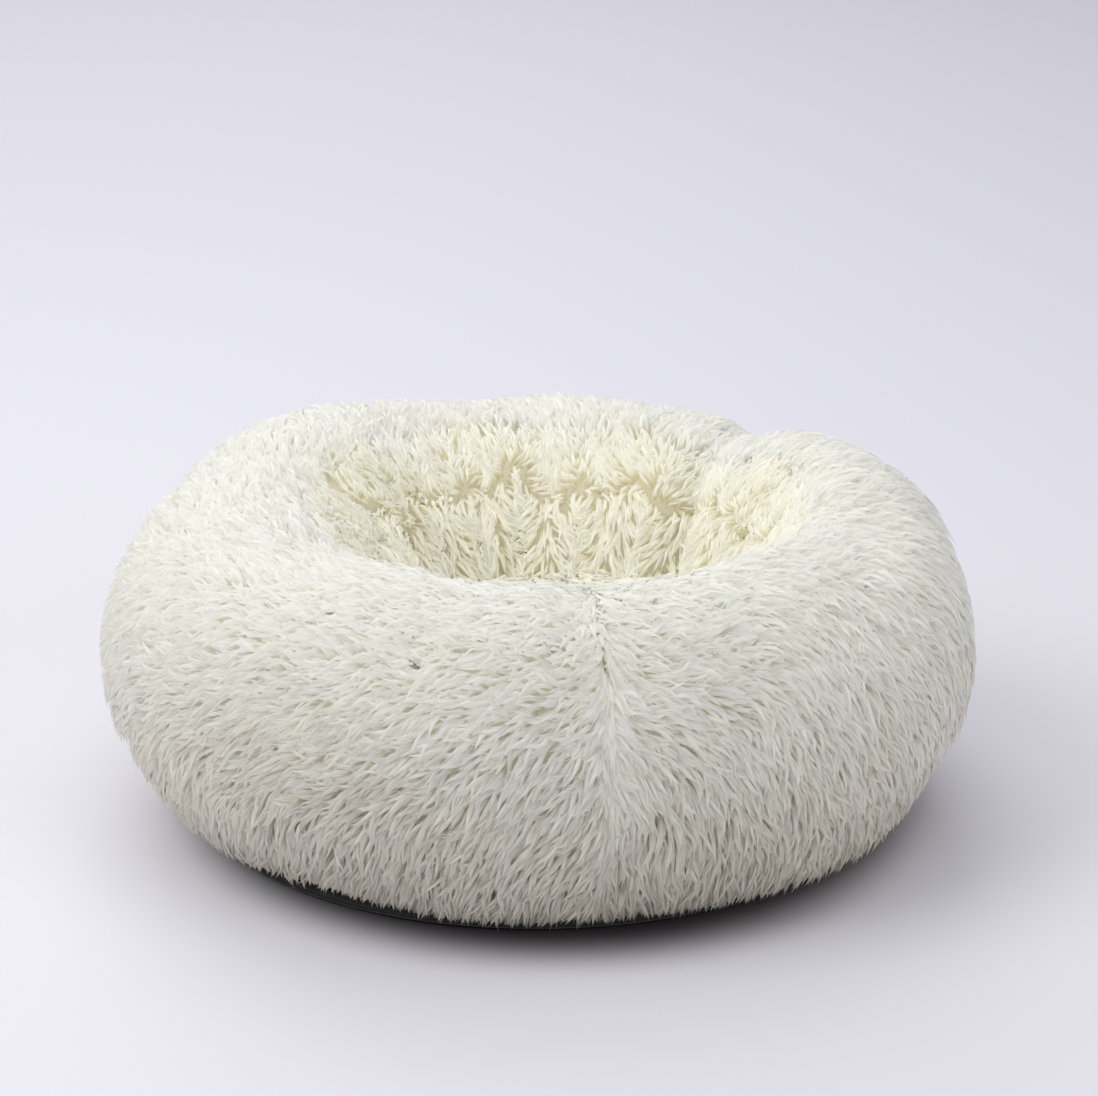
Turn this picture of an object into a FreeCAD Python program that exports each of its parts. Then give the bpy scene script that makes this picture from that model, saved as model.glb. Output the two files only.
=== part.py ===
"""Round plush cushion bed for a pet: a stuffed ring around a low nest, on a zipped base.

Millimetres. Z is up, the origin is on the floor under the centre of the bed, and -Y is the front.
"""
import FreeCAD, Part
import Sketcher
import math
import os

DOC = FreeCAD.newDocument("pet_cushion_bed")
VECTOR = FreeCAD.Vector
SHEET = DOC.addObject("Spreadsheet::Sheet", "Sizes")

SIZES = {
    # stuffed ring: an ellipse, flattened where it rests, turned about the Z axis
    "ring_centre_radius": 166.0,
    "ring_centre_height": 88.0,
    "ring_half_width": 80.0,
    "ring_half_height": 93.0,
    "ring_foot": 2.0,
    "plush_depth": 12.0,
    "seam_depth": 5.0,
    "seam_sweep": 0.8,
    "front_seam_azimuth": -79.0,
    "right_seam_azimuth": 45.0,
    "left_seam_azimuth": 165.0,
    "ring_liner_inset": 12.3,
    "ring_liner_inside": 13.5,
    "ring_fill_inset": 13.8,
    "lining_foot": 5.4,
    "ring_fill_foot": 6.9,
    "ring_liner_floor": 6.6,
    # nest in the middle
    "nest_seam_height": 82.0,
    "nest_panel_radius": 85.4,
    "nest_panel_bottom": 82.3,
    "nest_panel_edge": 92.0,
    "nest_panel_crown": 102.0,
    "nest_pad_radius": 86.0,
    "nest_pad_top": 81.9,
    "lining_cloth": 1.2,
    "fill_clearance": 0.2,
    "allowance_inner": 86.4,
    "allowance_outer": 97.8,
    "allowance_bottom": 79.4,
    "allowance_top": 81.8,
    # base
    "base_radius": 198.0,
    "base_cloth": 0.8,
    "dot_radius": 3.5,
    "dot_thickness": 1.0,
    "dot_pitch": 42.0,
    "binding_inner": 198.1,
    "binding_outer": 200.6,
    "binding_thickness": 0.9,
    "label_wide": 28.0,
    "label_long": 31.0,
    "label_thick": 0.4,
    "label_start": 201.5,
    "label_side": 36.0,
    "label_height": 0.7,
    # zip across the base, behind the centre
    "zip_offset": 60.0,
    "slot_length": 324.0,
    "slot_width": 9.0,
    "hem_length": 331.0,
    "hem_width": 11.0,
    "hem_thick": 1.4,
    "tape_length": 332.0,
    "tape_width": 12.5,
    "tape_thick": 0.5,
    "tape_inner": 3.0,
    "teeth_start": -146.0,
    "teeth_pitch": 2.5,
    "teeth_count": 117.0,
    "tooth_long": 1.4,
    "tooth_inner": 0.6,
    "tooth_root": 2.2,
    "teeth_bottom": 2.8,
    "teeth_thick": 1.3,
    "stop_long": 2.6,
    "stop_bottom": 2.65,
    "stop_thick": 1.6,
    "top_stop_start": -149.0,
    "bottom_stop_start": 147.0,
    "slider_rest": -141.0,
    "slider_long": 10.0,
    "slider_half_width": 4.0,
    "slider_bottom": 1.9,
    "slider_plate": 0.6,
    "slider_top": 5.0,
    "slider_lip": 0.6,
    "slider_lip_drop": 0.35,
    "post_half_width": 0.5,
    "post_long": 2.6,
    "lug_inner": 1.4,
    "lug_outer": 2.2,
    "lug_half_long": 1.0,
    "lug_bottom": 0.45,
    "pin_height": 1.0,
    "pin_radius": 0.4,
    "eye_bore_radius": 0.48,
    "eye_radius": 0.82,
    "eye_half_width": 1.2,
    "pull_long": 20.0,
    "pull_neck_long": 3.0,
    "pull_half_width": 2.5,
    "pull_thick": 0.8,
    "pull_hole_radius": 1.0,
    "pull_hole_from_end": 2.8,
}


def fill_sheet():
    """Write one row per driving dimension: its name, its value and an alias."""
    for row, (alias, value) in enumerate(SIZES.items(), start=1):
        SHEET.set(f"A{row}", alias)
        SHEET.set(f"B{row}", str(value))
        SHEET.setAlias(f"B{row}", alias)
    DOC.recompute()


def size(alias):
    """The number that the sheet holds under an alias."""
    return float(SHEET.get(alias))


def origin_plane(body, role):
    """One of a body's own origin planes, by its role."""
    return next(item for item in body.Origin.OriginFeatures if item.Role == role)


def new_body(label):
    """An empty body whose label names its file; a group of loose pieces may share it."""
    body = DOC.addObject("PartDesign::Body", label)
    body.Label = label
    body.AllowCompound = True
    return body


def new_sketch(body, name, role, height=None):
    """A sketch on a body's origin plane, lifted along the plane's normal by an expression."""
    sketch = body.newObject("Sketcher::SketchObject", name)
    sketch.AttachmentSupport = [(origin_plane(body, role), "")]
    sketch.MapMode = "FlatFace"
    if height:
        sketch.setExpression("AttachmentOffset.Base.z", height)
    return sketch


def constrain(sketch, kind, *arguments, bound_to=None):
    """Add one constraint, and bind its value to an expression."""
    index = sketch.addConstraint(Sketcher.Constraint(kind, *arguments))
    if bound_to:
        sketch.setExpression(f"Constraints[{index}]", bound_to)


class Ellipse:
    """The ring's section drawn in by an inset, which keeps it closer at the foot than at the top."""

    def __init__(self, inset_alias=None):
        inset = size(inset_alias) if inset_alias else 0.0
        drawn_in = f"Sizes.{inset_alias}" if inset_alias else "0"
        self.centre_radius = size("ring_centre_radius")
        self.centre_height = size("ring_centre_height") - inset / 3
        self.half_width = size("ring_half_width") - inset
        self.half_height = size("ring_half_height") - 2 * inset / 3
        self.expressions = {
            "centre_radius": "Sizes.ring_centre_radius",
            "centre_height": f"Sizes.ring_centre_height - {drawn_in} / 3",
            "width": f"2 * (Sizes.ring_half_width - {drawn_in})",
            "height": f"2 * (Sizes.ring_half_height - 2 * {drawn_in} / 3)",
        }

    def turn_at(self, height):
        """The angle from the crown down to a height on the ellipse."""
        return math.acos((height - self.centre_height) / self.half_height)

    def arc(self, outer_height, inner_height):
        """From a height on the outside, over the crown, to a height on the inside."""
        centre = VECTOR(self.centre_radius, self.centre_height, 0)
        crown = centre + VECTOR(0, self.half_height, 0)
        inner_side = centre - VECTOR(self.half_width, 0, 0)
        ellipse = Part.Ellipse(crown, inner_side, centre)
        return Part.ArcOfEllipse(ellipse, -self.turn_at(outer_height), self.turn_at(inner_height))


def draw_ellipse(sketch, ellipse, outer_height, inner_height):
    """Put an ellipse's arc in a sketch and bind its centre and its two axes; returns its number."""
    arc = sketch.addGeometry(ellipse.arc(outer_height, inner_height))
    tall_axis = len(sketch.Geometry)
    wide_axis = tall_axis + 1
    sketch.exposeInternalGeometry(arc)
    constrain(sketch, "Vertical", tall_axis)
    constrain(sketch, "DistanceX", -1, 1, arc, 3, ellipse.centre_radius,
              bound_to=ellipse.expressions["centre_radius"])
    constrain(sketch, "DistanceY", -1, 1, arc, 3, ellipse.centre_height,
              bound_to=ellipse.expressions["centre_height"])
    constrain(sketch, "Distance", tall_axis, 2 * ellipse.half_height, bound_to=ellipse.expressions["height"])
    constrain(sketch, "Distance", wide_axis, 2 * ellipse.half_width, bound_to=ellipse.expressions["width"])
    return arc


def bind_height(sketch, line, alias):
    """Hold a level line at the height that an alias gives."""
    constrain(sketch, "Horizontal", line)
    constrain(sketch, "DistanceY", -1, 1, line, 1, size(alias), bound_to=f"Sizes.{alias}")


def join_ends(sketch, first, first_end, second, second_end, alias):
    """A level line from one arc's end to another's, at the height that an alias gives."""
    start = sketch.getPoint(first, first_end)
    end = sketch.getPoint(second, second_end)
    line = sketch.addGeometry(Part.LineSegment(start, end))
    constrain(sketch, "Coincident", line, 1, first, first_end)
    constrain(sketch, "Coincident", line, 2, second, second_end)
    bind_height(sketch, line, alias)


def revolve(body, sketch, sweep="360 deg"):
    """Turn a sketch about the Z axis by a sweep, counterclockwise from above."""
    turned = body.newObject("PartDesign::Revolution", f"{body.Name}_turned")
    turned.Profile = sketch
    turned.ReferenceAxis = (sketch, ["V_Axis"])
    turned.setExpression("Angle", sweep)


def shell_panel(label, outer_inset, start_alias, sweep):
    """A stretch of the ring's skin, from the foot over the crown to the nest's seam."""
    body = new_body(label)
    sketch = new_sketch(body, f"{label}_section", "XZ_Plane")
    foot = size("ring_foot")
    seam = size("nest_seam_height")
    outside = draw_ellipse(sketch, Ellipse(outer_inset), foot, seam)
    inside = draw_ellipse(sketch, Ellipse("plush_depth"), foot, seam)
    join_ends(sketch, outside, 1, inside, 1, "ring_foot")
    join_ends(sketch, outside, 2, inside, 2, "nest_seam_height")
    revolve(body, sketch, sweep)
    body.Placement = FreeCAD.Placement(VECTOR(), FreeCAD.Rotation(VECTOR(0, 0, 1), 1))
    body.setExpression("Placement.Rotation.Angle", start_alias)
    return body


def ring_skin():
    """Three plush panels, and the three narrow seams between them."""
    half_seam = "Sizes.seam_sweep / 2"
    spans = {
        "rim_panel_right": ("front_seam_azimuth", "right_seam_azimuth", 0),
        "rim_panel_back": ("right_seam_azimuth", "left_seam_azimuth", 0),
        "rim_panel_front_left": ("left_seam_azimuth", "front_seam_azimuth", 360),
    }
    for label, (start, end, full_turn) in spans.items():
        sweep = f"(Sizes.{end} + {full_turn} - Sizes.{start} - Sizes.seam_sweep) * 1 deg"
        shell_panel(label, None, f"(Sizes.{start} + {half_seam}) * 1 deg", sweep)
    for side in ("front", "right", "left"):
        start = f"(Sizes.{side}_seam_azimuth - {half_seam}) * 1 deg"
        shell_panel(f"rim_seam_{side}", "seam_depth", start, "Sizes.seam_sweep * 1 deg")


def closed_ring(label, layers):
    """A full ring; each layer is an inset and a foot, and a second layer is its hollow."""
    body = new_body(label)
    sketch = new_sketch(body, f"{label}_section", "XZ_Plane")
    for inset, foot in layers:
        arc = draw_ellipse(sketch, Ellipse(inset), size(foot), size(foot))
        join_ends(sketch, arc, 2, arc, 1, foot)
    revolve(body, sketch)
    return body


def ring_stuffing():
    """The lining bag of the ring and the fibre filling inside it."""
    closed_ring("rim_liner", [("ring_liner_inset", "lining_foot"), ("ring_liner_inside", "ring_liner_floor")])
    closed_ring("rim_fill", [("ring_fill_inset", "ring_fill_foot")])


def cylinder(name, radius, height, bottom):
    """A Part cylinder about the Z axis, with its sizes given as expressions."""
    item = DOC.addObject("Part::Cylinder", name)
    item.setExpression("Radius", radius)
    item.setExpression("Height", height)
    item.setExpression("Placement.Base.z", bottom)
    return item


def cut(label, base, tool):
    """One solid less another."""
    item = DOC.addObject("Part::Cut", label)
    item.Label = label
    item.Base = base
    item.Tool = tool
    return item


def flat_ring(label, inner, outer, bottom, height):
    """A flat ring about the Z axis."""
    disc = cylinder(f"{label}_disc", outer, height, bottom)
    hole = cylinder(f"{label}_hole", inner, height, bottom)
    return cut(label, disc, hole)


def nest():
    """The crowned plush disc that the pet lies on, its seam, and the pad under it."""
    body = new_body("nest_panel")
    sketch = new_sketch(body, "nest_panel_section", "XZ_Plane")
    radius = size("nest_panel_radius")
    bottom = size("nest_panel_bottom")
    edge = size("nest_panel_edge")
    crown = size("nest_panel_crown")
    centre_low = VECTOR(0, bottom, 0)
    rim_low = VECTOR(radius, bottom, 0)
    rim_high = VECTOR(radius, edge, 0)
    centre_high = VECTOR(0, crown, 0)
    rise = crown - edge
    dome_radius = (radius ** 2 + rise ** 2) / (2 * rise)
    dome_turn = math.asin(radius / dome_radius)
    dome = Part.Circle(VECTOR(0, crown - dome_radius, 0), VECTOR(0, 0, 1), dome_radius)
    underside = sketch.addGeometry(Part.LineSegment(centre_low, rim_low))
    side = sketch.addGeometry(Part.LineSegment(rim_low, rim_high))
    top = sketch.addGeometry(Part.ArcOfCircle(dome, math.pi / 2 - dome_turn, math.pi / 2))
    middle = sketch.addGeometry(Part.LineSegment(centre_high, centre_low))
    constrain(sketch, "Coincident", underside, 2, side, 1)
    constrain(sketch, "Coincident", side, 2, top, 1)
    constrain(sketch, "Coincident", top, 2, middle, 1)
    constrain(sketch, "Coincident", middle, 2, underside, 1)
    constrain(sketch, "Vertical", side)
    constrain(sketch, "PointOnObject", middle, 1, -2)
    constrain(sketch, "PointOnObject", top, 3, -2)
    constrain(sketch, "Vertical", middle)
    bind_height(sketch, underside, "nest_panel_bottom")
    constrain(sketch, "DistanceX", -1, 1, side, 1, radius, bound_to="Sizes.nest_panel_radius")
    constrain(sketch, "DistanceY", -1, 1, side, 2, edge, bound_to="Sizes.nest_panel_edge")
    constrain(sketch, "DistanceY", -1, 1, middle, 1, crown, bound_to="Sizes.nest_panel_crown")
    revolve(body, sketch)
    flat_ring("nest_seam_allowance", "Sizes.allowance_inner", "Sizes.allowance_outer",
              "Sizes.allowance_bottom", "Sizes.allowance_top - Sizes.allowance_bottom")
    bag = cylinder("nest_bag", "Sizes.nest_pad_radius", "Sizes.nest_pad_top - Sizes.lining_foot",
                   "Sizes.lining_foot")
    hollow = cylinder("nest_bag_hollow", "Sizes.nest_pad_radius - Sizes.lining_cloth",
                      "Sizes.nest_pad_top - Sizes.lining_foot - 2 * Sizes.lining_cloth",
                      "Sizes.lining_foot + Sizes.lining_cloth")
    cut("nest_pad_liner", bag, hollow)
    stuffing = cylinder("nest_pad_fill",
                        "Sizes.nest_pad_radius - Sizes.lining_cloth - Sizes.fill_clearance",
                        "Sizes.nest_pad_top - Sizes.lining_foot - 2 * Sizes.lining_cloth"
                        " - 2 * Sizes.fill_clearance",
                        "Sizes.lining_foot + Sizes.lining_cloth + Sizes.fill_clearance")
    stuffing.Label = "nest_pad_fill"


def pad(body, sketch, length):
    """Raise a sketch along its normal."""
    raised = body.newObject("PartDesign::Pad", f"{sketch.Name}_raised")
    raised.Profile = sketch
    raised.setExpression("Length", length)
    return raised


def draw_circle(sketch, centre, radius, bound_to):
    """A circle held at its place, with its radius bound to an expression."""
    circle = sketch.addGeometry(Part.Circle(centre, VECTOR(0, 0, 1), radius))
    constrain(sketch, "Radius", circle, radius, bound_to=bound_to)
    return circle


def base_cloth():
    """The disc of coated cloth with the zip's slot in it, and the binding round its edge."""
    disc = cylinder("base_disc", "Sizes.base_radius", "Sizes.base_cloth", "Sizes.dot_thickness")
    slot = box("base_slot", ("Sizes.slot_length", "Sizes.slot_width", "Sizes.base_cloth"),
               ("-Sizes.slot_length / 2", "Sizes.zip_offset - Sizes.slot_width / 2", "Sizes.dot_thickness"))
    cut("base_panel", disc, slot)
    flat_ring("base_edge_binding", "Sizes.binding_inner", "Sizes.binding_outer",
              "Sizes.dot_thickness", "Sizes.binding_thickness")


def dot_places():
    """Centres of the grip dots on a triangular grid, clear of the base's edge and of the zip."""
    pitch = size("dot_pitch")
    row_step = pitch * math.sqrt(3) / 2
    clear_edge = size("base_radius") - 3 * size("dot_radius")
    zip_band = size("slot_width") / 2 + size("hem_width") + size("dot_radius")
    zip_end = size("hem_length") / 2 + size("dot_radius")
    reach = int(clear_edge / row_step)
    places = []
    for row in range(-reach, reach + 1):
        shift = pitch / 2 if row % 2 else 0.0
        for column in range(-reach - 1, reach + 2):
            place = VECTOR(column * pitch + shift, row * row_step, 0)
            beside_zip = abs(place.y - size("zip_offset")) > zip_band or abs(place.x) > zip_end
            if place.Length < clear_edge and beside_zip:
                places.append(place)
    return places


def grip_dots():
    """Soft dots under the base that keep the bed from sliding."""
    body = new_body("grip_dots")
    sketch = new_sketch(body, "grip_dots_plan", "XY_Plane")
    for place in dot_places():
        draw_circle(sketch, place, size("dot_radius"), "Sizes.dot_radius")
    pad(body, sketch, "Sizes.dot_thickness")


def box(label, extents, corner):
    """A Part box from three lengths and its low corner, all expressions."""
    item = DOC.addObject("Part::Box", label)
    item.Label = label
    for name, expression in zip(("Length", "Width", "Height"), extents):
        item.setExpression(name, expression)
    for axis, expression in zip("xyz", corner):
        item.setExpression(f"Placement.Base.{axis}", expression)
    return item


def care_label():
    """A blank satin label that hangs out of the back of the base seam."""
    box("care_label", ("Sizes.label_wide", "Sizes.label_long", "Sizes.label_thick"),
        ("Sizes.label_side - Sizes.label_wide / 2", "Sizes.label_start", "Sizes.label_height"))


def zip_strips(side, away):
    """The folded hem and the tape on one side of the zip; away is 1 behind it and -1 in front."""
    near_hem = "Sizes.slot_width / 2"
    hem_corner = (f"Sizes.zip_offset + {near_hem}" if away > 0
                  else f"Sizes.zip_offset - {near_hem} - Sizes.hem_width")
    box(f"zip_hem_{side}", ("Sizes.hem_length", "Sizes.hem_width", "Sizes.hem_thick"),
        ("-Sizes.hem_length / 2", hem_corner, "Sizes.dot_thickness + Sizes.base_cloth"))
    tape_corner = ("Sizes.zip_offset + Sizes.tape_inner" if away > 0
                   else "Sizes.zip_offset - Sizes.tape_inner - Sizes.tape_width")
    box(f"zip_tape_{side}", ("Sizes.tape_length", "Sizes.tape_width", "Sizes.tape_thick"),
        ("-Sizes.tape_length / 2", tape_corner,
         "Sizes.dot_thickness + Sizes.base_cloth + Sizes.hem_thick"))


def draw_rectangle(sketch, x_low, y_low, x_high, y_high, bounds):
    """A rectangle whose four sides are bound to expressions, in the order of the numbers."""
    corners = [VECTOR(x_low, y_low, 0), VECTOR(x_high, y_low, 0),
               VECTOR(x_high, y_high, 0), VECTOR(x_low, y_high, 0)]
    lines = [sketch.addGeometry(Part.LineSegment(corners[i], corners[(i + 1) % 4])) for i in range(4)]
    for i in range(4):
        constrain(sketch, "Coincident", lines[i], 2, lines[(i + 1) % 4], 1)
        constrain(sketch, "Vertical" if i % 2 else "Horizontal", lines[i])
    constrain(sketch, "DistanceX", -1, 1, lines[0], 1, x_low, bound_to=bounds[0])
    constrain(sketch, "DistanceY", -1, 1, lines[0], 1, y_low, bound_to=bounds[1])
    constrain(sketch, "DistanceX", -1, 1, lines[1], 2, x_high, bound_to=bounds[2])
    constrain(sketch, "DistanceY", -1, 1, lines[1], 2, y_high, bound_to=bounds[3])


def tooth_row(side, away):
    """One row of the zip's teeth on its spine; the back row stands half a pitch further on."""
    body = new_body(f"zip_teeth_{side}")
    shift = size("teeth_pitch") / 2 if away > 0 else 0.0
    shift_bound = "Sizes.teeth_pitch / 2" if away > 0 else "0"
    start = size("teeth_start")
    row_end = start + size("teeth_pitch") * size("teeth_count")
    row_end_bound = "Sizes.teeth_start + Sizes.teeth_pitch * Sizes.teeth_count"
    spine_y = sorted(size("zip_offset") + away * size(edge) for edge in ("tooth_root", "tape_inner"))
    tooth_y = sorted(size("zip_offset") + away * size(edge) for edge in ("tooth_inner", "tooth_root"))
    sign = "+" if away > 0 else "-"
    edges = [f"Sizes.zip_offset {sign} Sizes.{edge}" for edge in ("tooth_inner", "tooth_root", "tape_inner")]
    tooth_bounds = edges[:2] if away > 0 else edges[1::-1]
    spine_bounds = edges[1:] if away > 0 else edges[:0:-1]
    spine = new_sketch(body, f"zip_spine_{side}_plan", "XY_Plane", "Sizes.teeth_bottom")
    draw_rectangle(spine, start, spine_y[0], row_end, spine_y[1],
                   ("Sizes.teeth_start", spine_bounds[0], row_end_bound, spine_bounds[1]))
    pad(body, spine, "Sizes.teeth_thick")
    tooth = new_sketch(body, f"zip_tooth_{side}_plan", "XY_Plane", "Sizes.teeth_bottom")
    tooth_start = start + shift
    tooth_start_bound = f"Sizes.teeth_start + {shift_bound}"
    draw_rectangle(tooth, tooth_start, tooth_y[0], tooth_start + size("tooth_long"), tooth_y[1],
                   (tooth_start_bound, tooth_bounds[0],
                    f"{tooth_start_bound} + Sizes.tooth_long", tooth_bounds[1]))
    first = pad(body, tooth, "Sizes.teeth_thick")
    row = body.newObject("PartDesign::LinearPattern", f"zip_teeth_{side}_row")
    row.Originals = [first]
    row.Direction = (tooth, ["H_Axis"])
    row.setExpression("Length", "Sizes.teeth_pitch * (Sizes.teeth_count - 1)")
    row.setExpression("Occurrences", "Sizes.teeth_count")
    body.Tip = row


def zip_stops():
    """Small clamps that end the slider's travel: one on each tape at the closed end, one across both."""
    width = "Sizes.tape_inner - Sizes.tooth_inner"
    left = box("zip_top_stop_front", ("Sizes.stop_long", width, "Sizes.stop_thick"),
               ("Sizes.top_stop_start", "Sizes.zip_offset - Sizes.tape_inner", "Sizes.stop_bottom"))
    right = box("zip_top_stop_back", ("Sizes.stop_long", width, "Sizes.stop_thick"),
                ("Sizes.top_stop_start", "Sizes.zip_offset + Sizes.tooth_inner", "Sizes.stop_bottom"))
    pair = DOC.addObject("Part::Compound", "zip_top_stops")
    pair.Label = "zip_top_stops"
    pair.Links = [left, right]
    box("zip_bottom_stop", ("Sizes.stop_long", "2 * Sizes.tape_inner", "Sizes.stop_thick"),
        ("Sizes.bottom_stop_start", "Sizes.zip_offset - Sizes.tape_inner", "Sizes.stop_bottom"))


def fuse(label, pieces):
    """Several solids joined into one."""
    item = DOC.addObject("Part::MultiFuse", label)
    item.Label = label
    item.Shapes = pieces
    item.Refine = True
    return item


def zip_slider():
    """Two plates with turned lips, joined by a post between the rows, and lugs for the pull's pin."""
    middle = "Sizes.slider_rest"
    back = f"{middle} - Sizes.slider_long / 2"
    front = "Sizes.zip_offset - Sizes.slider_half_width"
    upper = "Sizes.slider_top - Sizes.slider_plate"
    plate = ("Sizes.slider_long", "2 * Sizes.slider_half_width", "Sizes.slider_plate")
    pieces = [box("slider_lower_plate", plate, (back, front, "Sizes.slider_bottom")),
              box("slider_upper_plate", plate, (back, front, upper))]
    lower_face = "Sizes.slider_bottom + Sizes.slider_plate"
    pieces.append(box("slider_post", ("Sizes.post_long", "2 * Sizes.post_half_width", f"{upper} - ({lower_face})"),
                      (back, "Sizes.zip_offset - Sizes.post_half_width", lower_face)))
    lip = ("Sizes.slider_long", "Sizes.slider_lip", "Sizes.slider_lip_drop")
    lip_sides = {"front": front, "back": "Sizes.zip_offset + Sizes.slider_half_width - Sizes.slider_lip"}
    lug = ("2 * Sizes.lug_half_long", "Sizes.lug_outer - Sizes.lug_inner",
           "Sizes.slider_bottom - Sizes.lug_bottom")
    lug_sides = {"front": "Sizes.zip_offset - Sizes.lug_outer", "back": "Sizes.zip_offset + Sizes.lug_inner"}
    for side in ("front", "back"):
        pieces.append(box(f"slider_lower_lip_{side}", lip, (back, lip_sides[side], lower_face)))
        pieces.append(box(f"slider_upper_lip_{side}", lip,
                          (back, lip_sides[side], f"{upper} - Sizes.slider_lip_drop")))
        pieces.append(box(f"slider_lug_{side}", lug,
                          (f"{middle} - Sizes.lug_half_long", lug_sides[side], "Sizes.lug_bottom")))
    fuse("zip_slider", pieces)
    cross_cylinder("zip_pull_pin", "Sizes.pin_radius", "2 * Sizes.lug_inner")


def cross_cylinder(label, radius, long):
    """A cylinder along Y through the pull's hinge axis, centred on the zip."""
    item = DOC.addObject("Part::Cylinder", label)
    item.Label = label
    item.setExpression("Radius", radius)
    item.setExpression("Height", long)
    item.Placement = FreeCAD.Placement(VECTOR(), FreeCAD.Rotation(VECTOR(1, 0, 0), -90))
    item.setExpression("Placement.Base.x", "Sizes.slider_rest")
    item.setExpression("Placement.Base.y", f"Sizes.zip_offset - ({long}) / 2")
    item.setExpression("Placement.Base.z", "Sizes.pin_height")
    return item


def zip_pull():
    """The pull: an eye round the pin, a narrow neck, and a flat tab with a hole near its end."""
    bottom = "Sizes.pin_height - Sizes.pull_thick / 2"
    neck = box("pull_neck", ("Sizes.pull_neck_long", "2 * Sizes.eye_half_width", "Sizes.pull_thick"),
               ("Sizes.slider_rest", "Sizes.zip_offset - Sizes.eye_half_width", bottom))
    tab_long = "Sizes.pull_long - Sizes.pull_neck_long - Sizes.pull_half_width"
    tab = box("pull_tab", (tab_long, "2 * Sizes.pull_half_width", "Sizes.pull_thick"),
              ("Sizes.slider_rest + Sizes.pull_neck_long", "Sizes.zip_offset - Sizes.pull_half_width", bottom))
    end = cylinder("pull_end", "Sizes.pull_half_width", "Sizes.pull_thick", bottom)
    end.setExpression("Placement.Base.x", "Sizes.slider_rest + Sizes.pull_long - Sizes.pull_half_width")
    end.setExpression("Placement.Base.y", "Sizes.zip_offset")
    eye = cross_cylinder("pull_eye", "Sizes.eye_radius", "2 * Sizes.eye_half_width")
    blank = fuse("pull_blank", [neck, tab, end, eye])
    bore = cross_cylinder("pull_bore", "Sizes.eye_bore_radius", "2 * Sizes.eye_half_width + 1")
    bored = cut("pull_bored", blank, bore)
    hole = cylinder("pull_hole", "Sizes.pull_hole_radius", "Sizes.pull_thick", bottom)
    hole.setExpression("Placement.Base.x", "Sizes.slider_rest + Sizes.pull_long - Sizes.pull_hole_from_end")
    hole.setExpression("Placement.Base.y", "Sizes.zip_offset")
    cut("zip_pull", bored, hole)


NODES = (
    "rim_panel_front_left", "rim_panel_right", "rim_panel_back",
    "rim_seam_front", "rim_seam_right", "rim_seam_left",
    "rim_liner", "rim_fill",
    "nest_panel", "nest_seam_allowance", "nest_pad_liner", "nest_pad_fill",
    "base_panel", "base_edge_binding", "grip_dots", "care_label",
    "zip_hem_front", "zip_hem_back", "zip_tape_front", "zip_tape_back",
    "zip_teeth_front", "zip_teeth_back", "zip_top_stops", "zip_bottom_stop",
    "zip_slider", "zip_pull_pin", "zip_pull",
)


def write_parts():
    """Check every object and every sub-part, then write one STEP file per sub-part."""
    for item in DOC.Objects:
        if "Invalid" in item.State or "Error" in item.State:
            raise RuntimeError(f"{item.Label} failed: {item.State}")
    shapes = {}
    for label in NODES:
        shape = DOC.getObjectsByLabel(label)[0].Shape
        if shape.isNull() or not shape.isValid() or not shape.Solids:
            raise RuntimeError(f"{label} has no sound solid")
        shapes[label] = shape
    os.makedirs("parts", exist_ok=True)
    for label, shape in shapes.items():
        shape.exportStep(f"parts/{label}.step")
        extent = shape.BoundBox
        print(f"{label:22s} solids {len(shape.Solids):3d}  volume {shape.Volume / 1000:10.3f} cm3  "
              f"x {extent.XMin:8.2f} {extent.XMax:8.2f}  y {extent.YMin:8.2f} {extent.YMax:8.2f}  "
              f"z {extent.ZMin:7.2f} {extent.ZMax:7.2f}")


fill_sheet()
ring_skin()
ring_stuffing()
nest()
base_cloth()
grip_dots()
care_label()
for side_name, side_sign in (("front", -1), ("back", 1)):
    zip_strips(side_name, side_sign)
    tooth_row(side_name, side_sign)
zip_stops()
zip_slider()
zip_pull()
DOC.recompute()
write_parts()
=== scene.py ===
"""Round long-pile cushion bed for a pet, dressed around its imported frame.

Metres, in the frame's own axes: Z is up, the origin is on the floor under the middle, -Y is the front.
The ring's cloth is a surface of two angles: the azimuth round the bed and the turn round the tube.
"""

import logging
import math
from collections.abc import Callable
from dataclasses import dataclass, field
from enum import Enum

import bpy
import numpy as np
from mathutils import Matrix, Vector


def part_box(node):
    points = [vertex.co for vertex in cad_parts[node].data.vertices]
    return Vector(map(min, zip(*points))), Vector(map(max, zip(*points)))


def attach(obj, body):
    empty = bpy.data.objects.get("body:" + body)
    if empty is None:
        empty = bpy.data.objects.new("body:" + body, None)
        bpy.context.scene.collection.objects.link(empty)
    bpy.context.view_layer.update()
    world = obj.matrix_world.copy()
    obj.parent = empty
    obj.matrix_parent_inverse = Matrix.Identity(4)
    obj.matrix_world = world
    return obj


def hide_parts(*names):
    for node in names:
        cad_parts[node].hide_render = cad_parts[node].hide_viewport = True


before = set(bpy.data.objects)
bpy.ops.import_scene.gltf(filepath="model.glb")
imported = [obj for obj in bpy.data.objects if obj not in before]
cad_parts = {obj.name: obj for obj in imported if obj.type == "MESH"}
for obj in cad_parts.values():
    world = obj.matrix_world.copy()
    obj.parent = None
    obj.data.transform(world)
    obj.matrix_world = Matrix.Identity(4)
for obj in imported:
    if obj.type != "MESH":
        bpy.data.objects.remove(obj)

LOG = logging.getLogger("cushion_bed")
BED = "bed"
FULL_TURN = 2 * math.pi
CLOTH_INSET = 0.0145
UPWARD = np.array([0.0, 0.0, 1.0])

# Two fixed fractions whose whole steps, wrapped into 0 to 1, never bunch up.
SPREAD_STEPS = (0.7548776662466927, 0.5698402909980532)

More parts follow.
